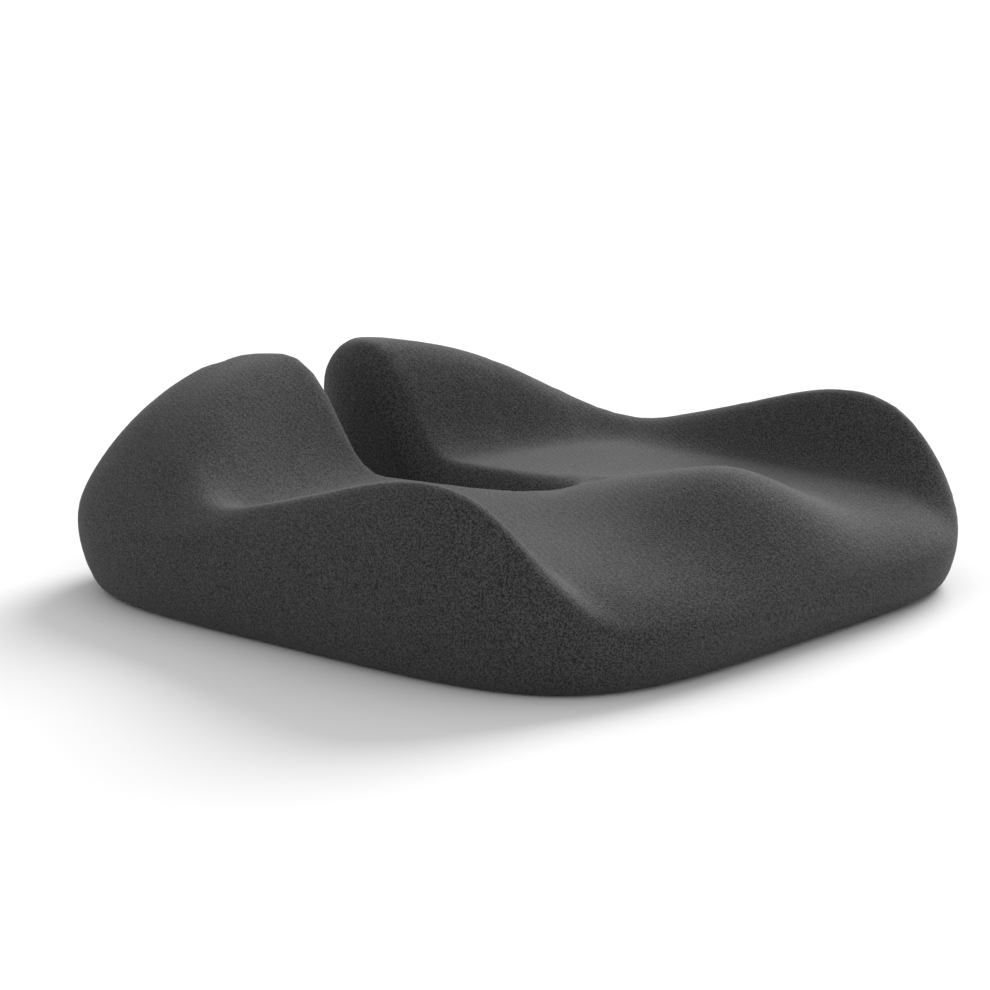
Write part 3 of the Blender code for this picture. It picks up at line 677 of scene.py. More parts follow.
@dataclass
class FormMesher:
    """Builds fine meshes of the form at any depth under its surface."""

    form: CushionForm
    columns: int = 44
    rows_before_slot: int = 40
    rows_beside_slot: int = 44
    wall_rings: int = 18
    crowding: float = 0.86
    rim_lean: float = 0.5

    def graded(self, t: float) -> float:
        """Moves evenly spaced t (0 to 1) so that steps near both ends are shorter."""
        return t - self.crowding / (2 * pi) * sin(2 * pi * t)

    def parameters(self, co: Vector) -> tuple[float, float]:
        """(u, v) of a vertex of a unit grid, with one row exactly at the slot's nose."""
        row = (co.y + 0.5) * (self.rows_before_slot + self.rows_beside_slot)
        nose_v = self.form.nose_y / self.form.half_depth
        if row <= self.rows_before_slot + TINY:
            v = -1 + (nose_v + 1) * self.graded(row / self.rows_before_slot)
        else:
            along = (row - self.rows_before_slot) / self.rows_beside_slot
            v = nose_v + (1 - nose_v) * self.graded(along)
        return self.graded(co.x + 0.5), v

    @staticmethod
    def free_edge_chain(bm: bmesh.types.BMesh) -> list[bmesh.types.BMVert]:
        """The half's free edge in order, from the middle of the front to the slot's nose."""
        free = {e for e in bm.edges if e.is_boundary and any(v.co.x > TINY for v in e.verts)}
        links: dict[Any, list[Any]] = {}
        for edge in free:
            for vertex in edge.verts:
                links.setdefault(vertex, []).append(edge)
        chain = [min((v for v in links if v.co.x <= TINY), key=lambda v: v.co.y)]
        used: set[Any] = set()
        while True:
            onward = [e for e in links[chain[-1]] if e not in used]
            if not onward:
                return chain
            used.add(onward[0])
            chain.append(onward[0].other_vert(chain[-1]))

    def half_skin(self) -> tuple[bmesh.types.BMesh, list[Vector]]:
        """The right half's top and walls.

        Returns:
            The bmesh, and the points of its base edge from the front to the slot's nose.
        """
        form = self.form
        bm = bmesh.new()
        rows = self.rows_before_slot + self.rows_beside_slot
        bmesh.ops.create_grid(bm, x_segments=self.columns, y_segments=rows, size=0.5)
        slotness = {}
        for vertex in bm.verts:
            vertex.co, slotness[vertex] = form.surface_point(*self.parameters(vertex.co))
        chain = self.free_edge_chain(bm)
        rim = [vertex.co.copy() for vertex in chain]
        tucks = [form.wall_tuck(vertex.co.y, slotness[vertex]) for vertex in chain]
        inward = inward_directions(rim, closed=False)
        for ring in range(1, self.wall_rings + 1):
            edges = [bm.edges.get(pair) for pair in zip(chain, chain[1:])]
            extruded = bmesh.ops.extrude_edge_only(bm, edges=edges)["geom"]
            fresh = {item for item in extruded if isinstance(item, bmesh.types.BMVert)}
            chain = [
                next(e.other_vert(v) for e in v.link_edges if e.other_vert(v) in fresh)
                for v in chain
            ]
            angle = pi / 2 * ring / self.wall_rings
            for index, vertex in enumerate(chain):
                start = rim[index]
                vertex.co = start + inward[index] * tucks[index] * (1 - cos(angle))
                drop = (start.z - form.base_height) * (1 - sin(angle))
                vertex.co.z = form.base_height + drop
        return bm, [vertex.co.copy() for vertex in chain]

    def layer(self, depth: float) -> bmesh.types.BMesh:
        """The closed form with its flat base face, moved inwards by depth."""
        bm, _ = self.half_skin()
        half = bm.verts[:] + bm.edges[:] + bm.faces[:]
        bmesh.ops.mirror(bm, geom=half, axis="X", merge_dist=WELD)
        rim_edges = [edge for edge in bm.edges if edge.is_boundary]
        base = bmesh.ops.contextual_create(bm, geom=rim_edges)["faces"][0]
        bmesh.ops.recalc_face_normals(bm, faces=bm.faces[:])
        bm.normal_update()
        shift = {v: -v.normal * depth for v in bm.verts}
        ring = [loop.vert for loop in base.loops]
        if base.normal.z < 0:
            ring.reverse()
        for vertex, direction in zip(ring, inward_directions([v.co for v in ring], closed=True)):
            shift[vertex] = direction * depth * self.rim_lean + Vector((0, 0, depth))
        for vertex, move in shift.items():
            vertex.co += move
        return bm

    def base_outline(self, inset: float) -> list[Vector]:
        """The base's edge as a closed anticlockwise list of points, moved inwards by inset."""
        bm, right = self.half_skin()
        bm.free()
        points = right + [mirrored(point) for point in reversed(right[1:-1])]
        directions = inward_directions(points, closed=True)
        return [point + direction * inset for point, direction in zip(points, directions)]


# ---------------------------------------------------------------- cloth simulation


@dataclass(frozen=True)
class ClothSettling:
    """A short cloth simulation that lets a sewn skin fill out over its foam."""

    voxel: float = 5 * MM
    frames: int = 16
    pressure: float = 3.0
    most_move: float = 1.6 * MM
    held_below: float = 6 * MM
    stretch_stiffness: float = 25.0
    bending_stiffness: float = 2.0
    neighbours: int = 4
    nearness: float = 0.5 * MM

    def moves(self, obj: bpy.types.Object) -> tuple[kdtree.KDTree, list[Vector]]:
        """Simulates a remeshed copy of a piece.

        Args:
            obj: the closed skin.

        Returns:
            A search tree of the copy's points at rest, and how far each one moved.
        """
        copy = bpy.data.objects.new("settling_copy", obj.data.copy())
        bpy.context.scene.collection.objects.link(copy)
        remesh = copy.modifiers.new("voxels", "REMESH")
        remesh.mode = "VOXEL"
        remesh.voxel_size = self.voxel
        bake_modifiers(copy)
        held = copy.vertex_groups.new(name="held")
        held.add([v.index for v in copy.data.vertices if v.co.z < self.held_below], 1.0, "REPLACE")
        start = [v.co.copy() for v in copy.data.vertices]
        cloth = copy.modifiers.new("cloth", "CLOTH")
        cloth.settings.effector_weights.gravity = 0.0
        cloth.settings.use_pressure = True
        cloth.settings.uniform_pressure_force = self.pressure
        cloth.settings.vertex_group_mass = "held"
        cloth.settings.tension_stiffness = self.stretch_stiffness
        cloth.settings.compression_stiffness = self.stretch_stiffness
        cloth.settings.bending_stiffness = self.bending_stiffness
        cloth.point_cache.frame_start = 1
        cloth.point_cache.frame_end = self.frames
        scene = bpy.context.scene
        for step in range(1, self.frames + 1):
            scene.frame_set(step)
        bake_modifiers(copy)
        scene.frame_set(1)
        tree = kdtree.KDTree(len(start))
        moves = []
        for index, (before, vertex) in enumerate(zip(start, copy.data.vertices)):
            move = vertex.co - before
            moves.append(move * min(1.0, self.most_move / max(move.length, TINY)))
            tree.insert(before, index)
        tree.balance()
        bpy.data.objects.remove(copy, do_unlink=True)
        return tree, moves

    def settle(self, obj: bpy.types.Object) -> None:
        """Moves a piece's own points as the simulated copy's nearest points moved."""
        tree, moves = self.moves(obj)
        for vertex in obj.data.vertices:
            near = tree.find_n(vertex.co, self.neighbours)
            weights = [1 / (distance + self.nearness) for _, _, distance in near]
            total = sum(weights)
            for (_, index, _), weight in zip(near, weights):
                vertex.co += moves[index] * (weight / total)


# ---------------------------------------------------------------- sewing helpers


def keep_side(bm: bmesh.types.BMesh, point: Vector, normal: Vector) -> None:
    """Cuts away what lies past the plane through point, on the side normal points to."""
    geom = bm.verts[:] + bm.edges[:] + bm.faces[:]
    bmesh.ops.bisect_plane(bm, geom=geom, plane_co=point, plane_no=normal, clear_outer=True)


def cut_out(obj: bpy.types.Object, cutter: bmesh.types.BMesh) -> None:
    """Takes a closed bmesh away from an object."""
    tool = mesh_object(cutter, obj.name + "_cutter")
    cut = obj.modifiers.new("cut", "BOOLEAN")
    cut.operation = "DIFFERENCE"
    cut.solver = "EXACT"
    cut.object = tool
    bake_modifiers(obj)
    bpy.data.objects.remove(tool, do_unlink=True)


def even_path(points: list[Vector], step: float, closed: bool) -> list[Vector]:
    """Points at an even spacing along a path.

    Args:
        points: the path's corners.
        step: about how far apart the new points lie.
        closed: whether the path's end joins its start.

    Returns:
        The new points, without the start repeated.
    """
    line = np.array(points + points[:1] if closed else points)
    run = np.concatenate([[0.0], np.linalg.norm(np.diff(line, axis=0), axis=1).cumsum()])
    count = max(2, round(run[-1] / step))
    places = np.linspace(0.0, run[-1], count, endpoint=not closed)
    return [Vector([np.interp(place, run, line[:, k]) for k in range(3)]) for place in places]


def inside(outline: list[Vector], x: float, y: float) -> bool:
    """Whether a plan position lies inside a closed outline."""
    crossings = 0
    for a, b in zip(outline, outline[1:] + outline[:1]):
        if (a.y > y) != (b.y > y) and x < a.x + (b.x - a.x) * (y - a.y) / (b.y - a.y):
            crossings += 1
    return crossings % 2 == 1


def scatter(template: bmesh.types.BMesh, name: str, places: list[Matrix]) -> bpy.types.Object:
    """Joins copies of a small shape into one piece.

    Args:
        template: the shape, which is freed.
        name: the piece's name.
        places: where each copy goes.

    Returns:
        The object.
    """
    shape = bpy.data.meshes.new(name + "_shape")
    template.to_mesh(shape)
    template.free()
    bm = bmesh.new()
    for place in places:
        shape.transform(place)
        bm.from_mesh(shape)
        shape.transform(place.inverted())
    bpy.data.meshes.remove(shape)
    return mesh_object(bm, name)


@dataclass(frozen=True)
class Stitching:
    """A row of straight stitches."""

    length: float = 2.6 * MM
    pitch: float = 3.4 * MM
    radius: float = 0.2 * MM

    def row(self, name: str, paths: list[list[Vector]]) -> bpy.types.Object:
        """Lays stitches along paths; the thread's ends dive into the fabric."""
        bm = bmesh.new()
        bmesh.ops.create_uvsphere(bm, u_segments=6, v_segments=6, radius=1.0)
        size = Vector((self.radius, self.radius, self.length / 2))
        bmesh.ops.scale(bm, vec=size, verts=bm.verts)
        places = []
        for path in paths:
            points = even_path(path, self.pitch, closed=False)
            for before, after in zip(points, points[1:]):
                turn = (after - before).to_track_quat("Z", "Y").to_matrix().to_4x4()
                places.append(Matrix.Translation((before + after) / 2) @ turn)
        return scatter(bm, name, places)


THREAD = MouldedFinish("charcoal_thread", "seam", (0.022, 0.022, 0.023), 0.6, 0.25 * MM, 0.05 * MM)
BASE_FABRIC = FabricFinish(
    "base_cloth", "base_fabric", (0.012, 0.012, 0.013), (0.045, 0.045, 0.047), Weave.PLAIN, 0.9 * MM
)
JERSEY = FabricFinish(
    "pale_jersey", "liner", (0.62, 0.61, 0.57), (0.86, 0.85, 0.82), Weave.JERSEY
)
BODY = "cushion"


@dataclass
class Workshop:
    """Hands out each finish's material once, and dresses each finished piece and fixes it to its
    body.
    """

    made: dict[str, bpy.types.Material] = field(default_factory=dict)

    def complete(
        self, obj: bpy.types.Object, finish: Any, body: str = BODY, stands_for: tuple[str, ...] = ()
    ) -> None:
        """Dresses a piece, fixes it to its body and hides the CAD nodes it stands for.

        Args:
            obj: the piece.
            finish: its finish.
            body: the body it moves with.
            stands_for: the CAD nodes it replaces.
        """
        if finish.name not in self.made:
            self.made[finish.name] = finish.material()
        obj.data.materials.clear()
        obj.data.materials.append(self.made[finish.name])
        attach(obj, body)
        if stands_for:
            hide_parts(*stands_for)
        log.info("built %s on %s with %s", obj.name, body, finish.name)


# ---------------------------------------------------------------- soft layers


@dataclass
class SoftBody:
    """The knitted cover, the liner under it and the foam inside."""

    mesher: FormMesher
    shop: Workshop
    cover_thickness: float = 1.3 * MM
    liner_depth: float = 1.6 * MM
    liner_thickness: float = 0.7 * MM
    foam_depth: float = 2.6 * MM
    relief_half: tuple[float, float, float] = (176 * MM, 20 * MM, 7 * MM)
    zip_y: float = -72 * MM
    settling: ClothSettling = field(default_factory=ClothSettling)

    def skin(self, name: str, depth: float) -> bpy.types.Object:
        """One layer of the form as a closed object."""
        return mesh_object(self.mesher.layer(depth), name, pi)

    def relieve(self, obj: bpy.types.Object, depth: float) -> None:
        """Hollows a layer out over the zip."""
        half = Vector(self.relief_half) + Vector((1, 1, 1)) * (depth - self.liner_depth)
        low = Vector((-half.x, self.zip_y - half.y, -5 * MM))
        cut_out(obj, box_bmesh(low, Vector((half.x, self.zip_y + half.y, half.z))))

    def add_cover(self) -> None:
        """The knitted cover: a settled skin with real thickness, open at the base."""
        cover = self.skin("knitted_cover", 0.0)
        self.settling.settle(cover)
        bm = bmesh.new()
        bm.from_mesh(cover.data)
        bm.faces.remove(max(bm.faces, key=lambda f: len(f.verts)))
        bm.to_mesh(cover.data)
        bm.free()
        thickness = cover.modifiers.new("thickness", "SOLIDIFY")
        thickness.thickness = self.cover_thickness
        thickness.offset = -1.0
        bake_modifiers(cover)
        self.shop.complete(cover, KnitFinish(), stands_for=("outer_cover",))

    def add_liner(self) -> None:
        """The jersey liner, hollowed out over the zip."""
        liner = self.skin("jersey_liner", self.liner_depth)
        self.relieve(liner, self.liner_depth)
        inner = self.skin("liner_hollow", self.liner_depth + self.liner_thickness)
        self.relieve(inner, self.liner_depth + self.liner_thickness)
        hollow = bmesh.new()
        hollow.from_mesh(inner.data)
        bpy.data.objects.remove(inner, do_unlink=True)
        cut_out(liner, hollow)
        self.shop.complete(liner, JERSEY, stands_for=("inner_liner",))

    def add_foam(self) -> None:
        """The foam core, hollowed out over the zip."""
        foam = self.skin("foam_block", self.foam_depth)
        self.relieve(foam, self.foam_depth)
        self.shop.complete(foam, FoamFinish(), stands_for=("foam_core",))

    def build(self) -> None:
        """Builds the three layers."""
        self.add_cover()
        self.add_liner()
        self.add_foam()


# ---------------------------------------------------------------- the underside


@dataclass
class Underside:
    """Two fabric panels with grip dots, the tabs at the zip's ends and the sewn edge."""

    mesher: FormMesher
    shop: Workshop
    zip_y: float
    zip_half: float
    opening_half: float = 9 * MM
    hem_width: float = 10 * MM
    hem_top: float = 4.4 * MM
    fabric_low: float = 0.8 * MM
    fabric_top: float = 2.0 * MM
    edge_round: float = 0.35 * MM
    seam_low: float = 0.35 * MM
    seam_inset: float = 0.95 * MM
    seam_width: float = 1.8 * MM
    gap: float = 0.3 * MM
    overlock_pitch: float = 1.7 * MM
    outline_step: float = 2.5 * MM
    dot_pitch: float = 9 * MM
    dot_radius: float = 2.1 * MM
    dot_margin: float = 8 * MM

    def outline(self, inset: float, height: float) -> list[Vector]:
        """The base's edge, moved inwards, at a height."""
        edge = [Vector((p.x, p.y, height)) for p in self.mesher.base_outline(inset)]
        return even_path(edge, self.outline_step, closed=True)

    def fabric(self, name: str, cuts: list[tuple[Vector, Vector]]) -> bmesh.types.BMesh:
        """A sheet of base fabric with rounded edges.

        Args:
            name: what the sheet is for, in the log.
            cuts: planes, each a point and the direction of what is cut away.

        Returns:
            The sheet as a closed bmesh.
        """
        inset = self.seam_inset + self.seam_width + self.gap
        bm = outline_face(self.outline(inset, self.fabric_low))
        for point, normal in cuts:
            keep_side(bm, point, normal)
        sweep(bm, Vector((0, 0, self.fabric_top - self.fabric_low)))
        round_edges(bm, self.edge_round, 2, 1.0)
        log.info("cut the fabric for %s", name)
        return bm

    def add_panel(self, name: str, node: str, side: int) -> None:
        """A panel on one side of the zip (-1 front, 1 rear), with its folded hem.

        Args:
            name: the piece's name.
            node: the CAD node it stands for.
            side: which side of the zip it is on.
        """
        edge_y = self.zip_y + side * self.opening_half
        bm = self.fabric(name, [(Vector((0, edge_y, 0)), Vector((0, -side, 0)))])
        far_y = edge_y + side * self.hem_width
        low = Vector((-self.zip_half, min(edge_y, far_y), self.fabric_low))
        high = Vector((self.zip_half, max(edge_y, far_y), self.hem_top))
        hem = box_bmesh(low, high)
        round_edges(hem, 0.9 * MM, 4)
        absorb(bm, hem)
        self.shop.complete(mesh_object(bm, name), BASE_FABRIC, stands_for=(node,))
        rows = []
        for from_edge in (2.2 * MM, 8.4 * MM):
            y = edge_y + side * from_edge
            ends = (-self.zip_half + 2 * MM, self.zip_half - 2 * MM)
            rows.append([Vector((x, y, self.fabric_low)) for x in ends])
        self.shop.complete(Stitching().row(name + "_hem_stitches", rows), THREAD)

    def add_dots(self, name: str, side: int) -> None:
        """The low rubber dots that keep a panel from slipping."""
        outline = self.outline(self.dot_margin, 0.0)
        clear = self.opening_half + self.hem_width + self.dot_radius + 2 * MM
        row_pitch = self.dot_pitch * sqrt(3) / 2
        rows = int(self.mesher.form.half_depth / row_pitch)
        columns = int(self.mesher.form.half_width / self.dot_pitch) + 1
        places = []
        for row in range(-rows, rows + 1):
            y = row * row_pitch
            if side * (y - self.zip_y) < clear:
                continue
            for column in range(-columns, columns + 1):
                x = (column + 0.5 * (row % 2)) * self.dot_pitch
                if inside(outline, x, y):
                    places.append(Matrix.Translation((x, y, 0)))
        height = self.fabric_low + 0.1 * MM
        bm = bmesh.new()
        bmesh.ops.create_cone(
            bm,
            cap_ends=True,
            segments=8,
            radius1=self.dot_radius * 0.62,
            radius2=self.dot_radius,
            depth=height,
        )
        bmesh.ops.translate(bm, vec=(0, 0, height / 2), verts=bm.verts)
        low_edges = [e for e in bm.edges if all(v.co.z < TINY for v in e.verts)]
        bevel_edges(bm, low_edges, 0.4 * MM, 1, clamp=False)
        rubber = MouldedFinish("grip_rubber", "base_fabric", (0.012, 0.012, 0.012), 0.5)
        self.shop.complete(scatter(bm, name, places), rubber)

    def add_tab(self, name: str, node: str, side: int) -> None:
        """The fabric tab between a zip end and the sewn edge, with its bar tack."""
        half = self.opening_half - self.gap
        end_x = side * (self.zip_half + self.gap)
        cuts = [
            (Vector((0, self.zip_y + half, 0)), Vector((0, 1, 0))),
            (Vector((0, self.zip_y - half, 0)), Vector((0, -1, 0))),
            (Vector((end_x, 0, 0)), Vector((-side, 0, 0))),
        ]
        tab = mesh_object(self.fabric(name, cuts), name)
        self.shop.complete(tab, BASE_FABRIC, stands_for=(node,))
        rows = []
        for step in range(9):
            x = end_x + side * (2 + 0.5 * step) * MM
            ys = (self.zip_y - half + 2 * MM, self.zip_y + half - 2 * MM)
            rows.append([Vector((x, y, self.fabric_low)) for y in ys])
        self.shop.complete(Stitching(2.6 * MM, 2.4 * MM).row(name + "_bar_tack", rows), THREAD)

    def add_seam(self) -> None:
        """The sewn edge between the cover and the panels, with overlock thread round it."""
        bm = bmesh.new()
        for inset in (self.seam_inset, self.seam_inset + self.seam_width):
            loop = [bm.verts.new(point) for point in self.outline(inset, self.seam_low)]
            for first, second in zip(loop, loop[1:] + loop[:1]):
                bm.edges.new((first, second))
        bmesh.ops.bridge_loops(bm, edges=bm.edges[:])
        sweep(bm, Vector((0, 0, self.fabric_top - self.seam_low)))
        round_edges(bm, 0.5 * MM, 3, 1.0)
        binding = FabricFinish(
            "edge_binding", "seam", (0.01, 0.01, 0.011), (0.04, 0.04, 0.041), Weave.TWILL, 0.7 * MM
        )
        self.shop.complete(mesh_object(bm, "sewn_edge"), binding, stands_for=("base_seam",))
        outer = even_path(
            self.outline(self.seam_inset + 0.3 * MM, self.seam_low), self.overlock_pitch, True
        )
        zigzag = []
        directions = inward_directions(outer, closed=True)
        for point, direction in zip(outer, directions):
            zigzag.append(point)
            along = Vector((direction.y, -direction.x, 0)) * self.overlock_pitch / 2
            zigzag.append(point + direction * (self.seam_width - 0.6 * MM) + along)
        self.shop.complete(thread_object("overlock_thread", zigzag, 0.16 * MM, True), THREAD)

    def build(self) -> None:
        """Builds the whole underside."""
        self.add_panel("base_cloth_front", "base_panel_front", -1)
        self.add_panel("base_cloth_rear", "base_panel_rear", 1)
        self.add_dots("grip_dots_front", -1)
        self.add_dots("grip_dots_rear", 1)
        self.add_tab("end_tab_left", "zip_end_tab_left", -1)
        self.add_tab("end_tab_right", "zip_end_tab_right", 1)
        self.add_seam()


# ---------------------------------------------------------------- the zip


@dataclass
class Zip:
    """The coil zip: tapes, coils, stops, slider and pull."""

    shop: Workshop
    turn_pitch: float = 1.25 * MM
    turn_points: int = 12
    wire: float = 0.25 * MM
    slider_length: float = 9 * MM
    slider_taper: float = 0.74
    pull_length: float = 22 * MM
    pull_thickness: float = 0.7 * MM
    pull_head: float = 4.4 * MM
    pull_grip: float = 6 * MM
    pull_bar: float = 0.42 * MM

    def add_tape(self, name: str, node: str) -> None:
        """A woven tape, the box of its CAD strip with rounded edges, with two rows of stitches."""
        low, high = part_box(node)
        bm = box_bmesh(low, high)
        round_edges(bm, 0.2 * MM)
        cloth = FabricFinish(
            "zip_tape_weave", "zip_tape", (0.01, 0.01, 0.01), (0.05, 0.05, 0.052), Weave.TWILL
        )
        self.shop.complete(mesh_object(bm, name), cloth, stands_for=(node,))
        rows = []
        side = 1 if "rear" in name else -1
        inner_y = low.y if side > 0 else high.y
        for across in (3.6 * MM, 11.5 * MM):
            y = inner_y + side * across
            rows.append([Vector((x, y, low.z)) for x in (low.x + 2 * MM, high.x - 2 * MM)])
        self.shop.complete(Stitching(2.0 * MM, 2.6 * MM).row(name + "_stitches", rows), THREAD)

    def add_coil(self, name: str, node: str) -> None:
        """A coil of nylon wire that fills the space of its CAD strip."""
        low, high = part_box(node)
        middle, reach = (low + high) / 2, (high - low) / 2
        turns = int((high.x - low.x - 2 * self.wire) / self.turn_pitch)
        start = middle.x - turns * self.turn_pitch / 2
        phase = pi if name.endswith("rear") else 0.0
        points = []
        for step in range(turns * self.turn_points + 1):
            angle = 2 * pi * step / self.turn_points + phase
            x = start + self.turn_pitch * step / self.turn_points
            y = middle.y + (reach.y - self.wire) * cos(angle)
            points.append(Vector((x, y, middle.z + (reach.z - self.wire) * sin(angle))))
        nylon = MouldedFinish(
            "coil_nylon", "zip_coil", (0.012, 0.012, 0.013), 0.35, 0.4 * MM, 0.01 * MM, 0.2
        )
        coil = thread_object(name, points, self.wire, False)
        self.shop.complete(coil, nylon, stands_for=(node,))

    def add_stop(self, name: str, node: str) -> None:
        """A crimped metal stop: a rounded clamp with a pressed groove."""
        low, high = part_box(node)
        bm = box_bmesh(low, high)
        under = [face for face in bm.faces if face.normal.z < -0.5]
        bmesh.ops.inset_region(bm, faces=under, thickness=0.55 * MM, depth=0.0)
        bmesh.ops.translate(bm, vec=(0, 0, 0.25 * MM), verts=under[0].verts)
        round_edges(bm, 0.18 * MM)
        self.shop.complete(mesh_object(bm, name), PlatedFinish(), stands_for=(node,))

    def add_slider(self) -> None:
        """The slider: two plates that narrow at their ends, flanges, and the pull's bridge."""
        low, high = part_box("zip_slider")
        middle = (low + high) / 2
        wide = high.y - middle.y
        inside_y, web = wide - 0.85 * MM, 0.25 * MM
        right = [
            (wide, 2.0), (wide, 4.4), (inside_y, 4.4), (inside_y, 3.0),
            (web, 3.0), (web, 5.5), (wide, 5.5), (wide, 6.2),
        ]
        section = right + [(-y, z) for y, z in reversed(right)]
        start = middle.x - self.slider_length / 2
        taper = self.slider_taper
        bm = outline_face([Vector((start, middle.y + y * taper, z * MM)) for y, z in section])
        end = bm.faces[:]
        for share, scale in ((0.26, 1 / taper), (0.48, 1.0), (0.26, taper)):
            swept = bmesh.ops.extrude_face_region(bm, geom=end)["geom"]
            verts = [item for item in swept if isinstance(item, bmesh.types.BMVert)]
            end = [item for item in swept if isinstance(item, bmesh.types.BMFace)]
            bmesh.ops.translate(bm, vec=(share * self.slider_length, 0, 0), verts=verts)
            about = Matrix.Translation((0, -middle.y, 0))
            bmesh.ops.scale(bm, vec=(1, scale, 1), verts=verts, space=about)
        bmesh.ops.recalc_face_normals(bm, faces=bm.faces[:])
        round_edges(bm, 0.2 * MM, 2, 0.6)
        slider = mesh_object(bm, "slider_body", 0.6)
        half, beam = 3.2 * MM, 0.65 * MM
        arch = [
            (-half, 2.5), (-half, 1.1), (-half + 0.9 * MM, 0.15), (half - 0.9 * MM, 0.15),
            (half, 1.1), (half, 2.5), (half - 0.8 * MM, 2.5), (half - 0.8 * MM, 1.35),
            (half - 1.3 * MM, 0.15 + beam / MM), (-half + 1.3 * MM, 0.15 + beam / MM),
            (-half + 0.8 * MM, 1.35), (-half + 0.8 * MM, 2.5),
        ]
        bridge = outline_face(
            [Vector((middle.x + x, middle.y - 0.6 * MM, z * MM)) for x, z in arch]
        )
        sweep(bridge, Vector((0, 1.2 * MM, 0)))
        round_edges(bridge, 0.15 * MM, 2, 0.6)
        body = bmesh.new()
        body.from_mesh(slider.data)
        absorb(body, bridge)
        body.to_mesh(slider.data)
        body.free()
        self.shop.complete(slider, PlatedFinish(), "slider", ("zip_slider",))

    def add_pull(self) -> None:
        """The pull: a flat tab with rounded corners, an eye, a pressed grip and a round bar."""
        low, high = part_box("zip_pull")
        axis = Vector((high.x - self.pull_bar, (low.y + high.y) / 2, (low.z + high.z) / 2))
        head, grip = self.pull_head / 2, self.pull_grip / 2
        side = [
            (0.0, head),
            (-6.5 * MM, head),
            (-8.0 * MM, grip),
            (-self.pull_length + 1.5 * MM, grip),
            (-self.pull_length, grip - 1.5 * MM),
        ]
        outline = side + [(x, -y) for x, y in reversed(side)]
        down = Vector((0, 0, -self.pull_thickness / 2))
        bm = outline_face([axis + Vector((x, y, 0)) + down for x, y in outline])
        sweep(bm, -2 * down)
        upright = [e for e in bm.edges if abs(e.verts[0].co.z - e.verts[1].co.z) > 0.1 * MM]
        bevel_edges(bm, upright, 1.1 * MM, 4)
        pull = mesh_object(bm, "pull_tab", 0.6)
        eye = box_bmesh(axis + Vector((-4.0, -1.1, -2)) * MM, axis + Vector((0.1, 1.1, 2)) * MM)
        cut_out(pull, eye)
        for up in (-1, 1):
            z = up * self.pull_thickness / 2 / MM
            ends = sorted((z - 0.12 * up, z + 0.5 * up))
            cut_out(
                pull,
                box_bmesh(
                    axis + Vector((-19.5, -1.9, ends[0])) * MM,
                    axis + Vector((-9.5, 1.9, ends[1])) * MM,
                ),
            )
        body = bmesh.new()
        body.from_mesh(pull.data)
        bmesh.ops.remove_doubles(body, verts=body.verts[:], dist=WELD)
        round_edges(body, 0.1 * MM, 2, 0.7)
        turn = Matrix.Translation(axis) @ Matrix.Rotation(pi / 2, 4, "X")
        bmesh.ops.create_cone(
            body,
            cap_ends=True,
            segments=20,
            radius1=self.pull_bar,
            radius2=self.pull_bar,
            depth=self.pull_head,
            matrix=turn,
        )
        body.to_mesh(pull.data)
        body.free()
        pull.data.shade_smooth()
        pull.data.set_sharp_from_angle(angle=0.6)
        self.shop.complete(pull, PlatedFinish(), "pull", ("zip_pull",))

    def build(self) -> None:
        """Builds the whole zip."""
        for side in ("front", "rear"):
            self.add_tape("woven_tape_" + side, "zip_tape_" + side)
            self.add_coil("nylon_coil_" + side, "zip_coil_" + side)
            self.add_stop("top_clamp_" + side, "zip_top_stop_" + side)
        self.add_stop("bottom_clamp", "zip_bottom_stop")
        self.add_slider()
        self.add_pull()


@dataclass
class InnerSewing:
    """The liner's closing seam and the blank label inside the cover."""

    shop: Workshop

    def build(self) -> None:
        """Builds both."""
        low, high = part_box("liner_seam")
        bm = box_bmesh(low, high)
        round_edges(bm, 0.2 * MM)
        self.shop.complete(mesh_object(bm, "liner_closing"), JERSEY, stands_for=("liner_seam",))
        middle_y = (low.y + high.y) / 2
        row = [Vector((x, middle_y, low.z)) for x in (low.x + MM, high.x - MM)]
        pale = MouldedFinish("pale_thread", "liner", (0.7, 0.7, 0.66), 0.6, 0.25 * MM)
        self.shop.complete(Stitching().row("liner_closing_stitches", [row]), pale)
        low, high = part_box("care_label")
        bm = box_bmesh(low, high)
        round_edges(bm, 0.12 * MM)
        satin = FabricFinish(
            "label_satin", "label", (0.7, 0.7, 0.68), (0.88, 0.88, 0.86), Weave.TWILL, 0.4 * MM
        )
        label = mesh_object(bm, "blank_label")
        self.shop.complete(label, satin, stands_for=("care_label",))


# ---------------------------------------------------------------- studio


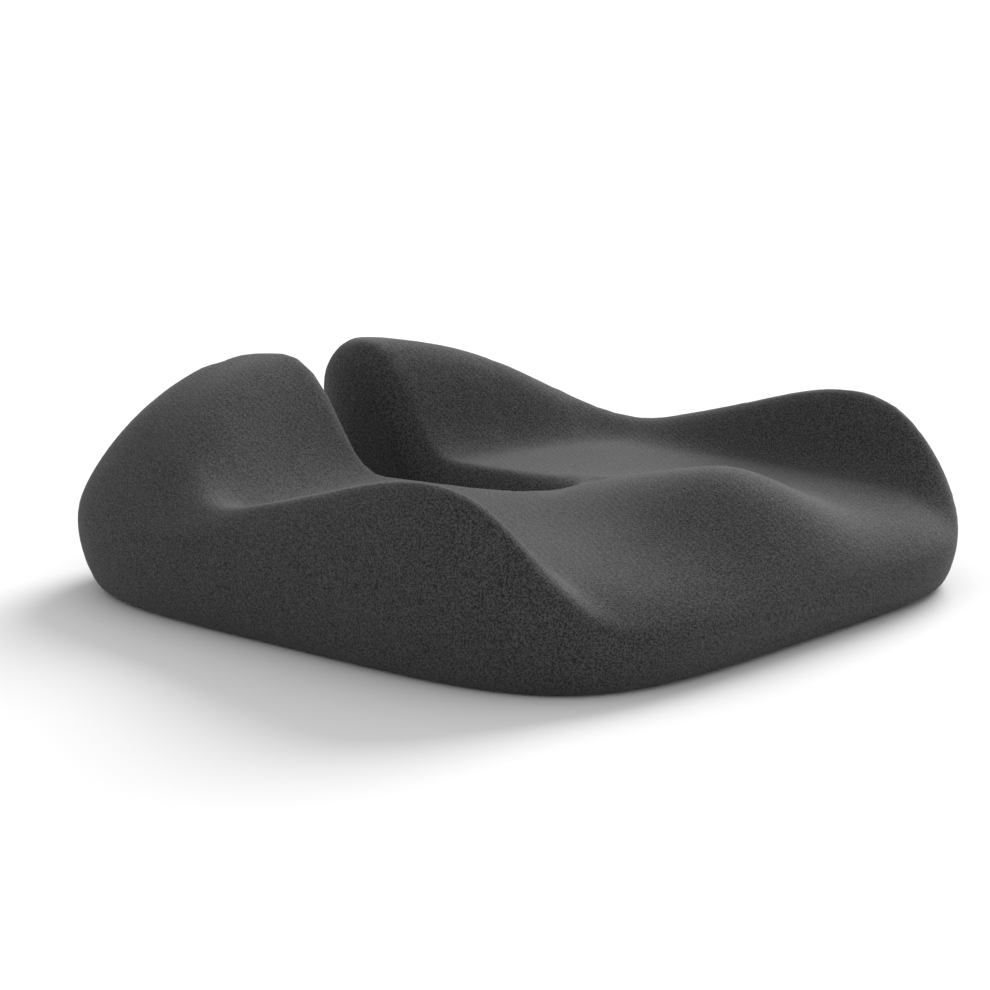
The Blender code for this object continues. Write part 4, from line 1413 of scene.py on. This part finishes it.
@dataclass
class Studio:
    """A pale floor, soft lights and the camera."""

    azimuth: float = radians(-49.2)
    elevation: float = radians(11.4)
    distance: float = 1.577
    target_right: float = -13.1 * MM
    target_height: float = 54.4 * MM
    lens: float = 95.8
    sensor: float = 36.0
    floor_size: float = 160.0
    surround: float = 0.72
    key_from: tuple[float, float, float] = (0.90, 0.22, 0.50)
    key_strength: float = 3.4
    key_spread: float = radians(34)

    def add_floor(self) -> None:
        """The floor, a large pale plane."""
        bm = bmesh.new()
        bmesh.ops.create_grid(bm, x_segments=1, y_segments=1, size=self.floor_size / 2)
        floor = mesh_object(bm, "studio_floor")
        sheet = MaterialSheet("studio_floor", 0.9)
        sheet.set(Base_Color=(0.88, 0.88, 0.88, 1.0), Specular_IOR_Level=0.1)
        floor.data.materials.append(sheet.material)

    def add_key(self) -> None:
        """The main light: broad and soft, fairly low over the right-hand side."""
        data = bpy.data.lights.new("key_light", "SUN")
        data.energy = self.key_strength
        data.angle = self.key_spread
        light = bpy.data.objects.new("key_light", data)
        light.rotation_euler = Vector(self.key_from).to_track_quat("Z", "Y").to_euler()
        bpy.context.scene.collection.objects.link(light)

    def add_world(self) -> None:
        """An even pale surround."""
        world = bpy.data.worlds.new("studio")
        world.use_nodes = True
        background = world.node_tree.nodes["Background"]
        background.inputs["Color"].default_value = (1.0, 1.0, 1.0, 1.0)
        background.inputs["Strength"].default_value = self.surround
        bpy.context.scene.world = world

    def add_camera(self) -> None:
        """The camera, a long lens at seat height."""
        a, e = self.azimuth, self.elevation
        back = Vector((sin(a) * cos(e), -cos(a) * cos(e), sin(e)))
        right = (-back).cross(Vector((0, 0, 1))).normalized()
        target = right * self.target_right + Vector((0, 0, self.target_height))
        data = bpy.data.cameras.new("camera")
        data.lens = self.lens
        data.sensor_width = self.sensor
        data.clip_end = 2 * self.floor_size
        camera = bpy.data.objects.new("camera", data)
        camera.location = target + back * self.distance
        camera.rotation_euler = (-back).to_track_quat("-Z", "Y").to_euler()
        bpy.context.scene.collection.objects.link(camera)
        bpy.context.scene.camera = camera

    def build(self) -> None:
        """Sets up the whole studio."""
        self.add_camera()
        self.add_world()
        self.add_floor()
        self.add_key()


def main() -> None:
    """Builds the studio and every piece, and logs each one."""
    logging.basicConfig(level=logging.INFO, format="%(name)s: %(message)s")
    bpy.context.scene.view_settings.view_transform = "Standard"
    Studio().build()
    shop = Workshop()
    mesher = FormMesher(CushionForm())
    SoftBody(mesher, shop).build()
    low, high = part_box("zip_tape_rear")
    Underside(mesher, shop, zip_y=low.y - CHAIN_GAP_HALF, zip_half=high.x).build()
    Zip(shop).build()
    InnerSewing(shop).build()


if __name__ == "__main__":
    main()
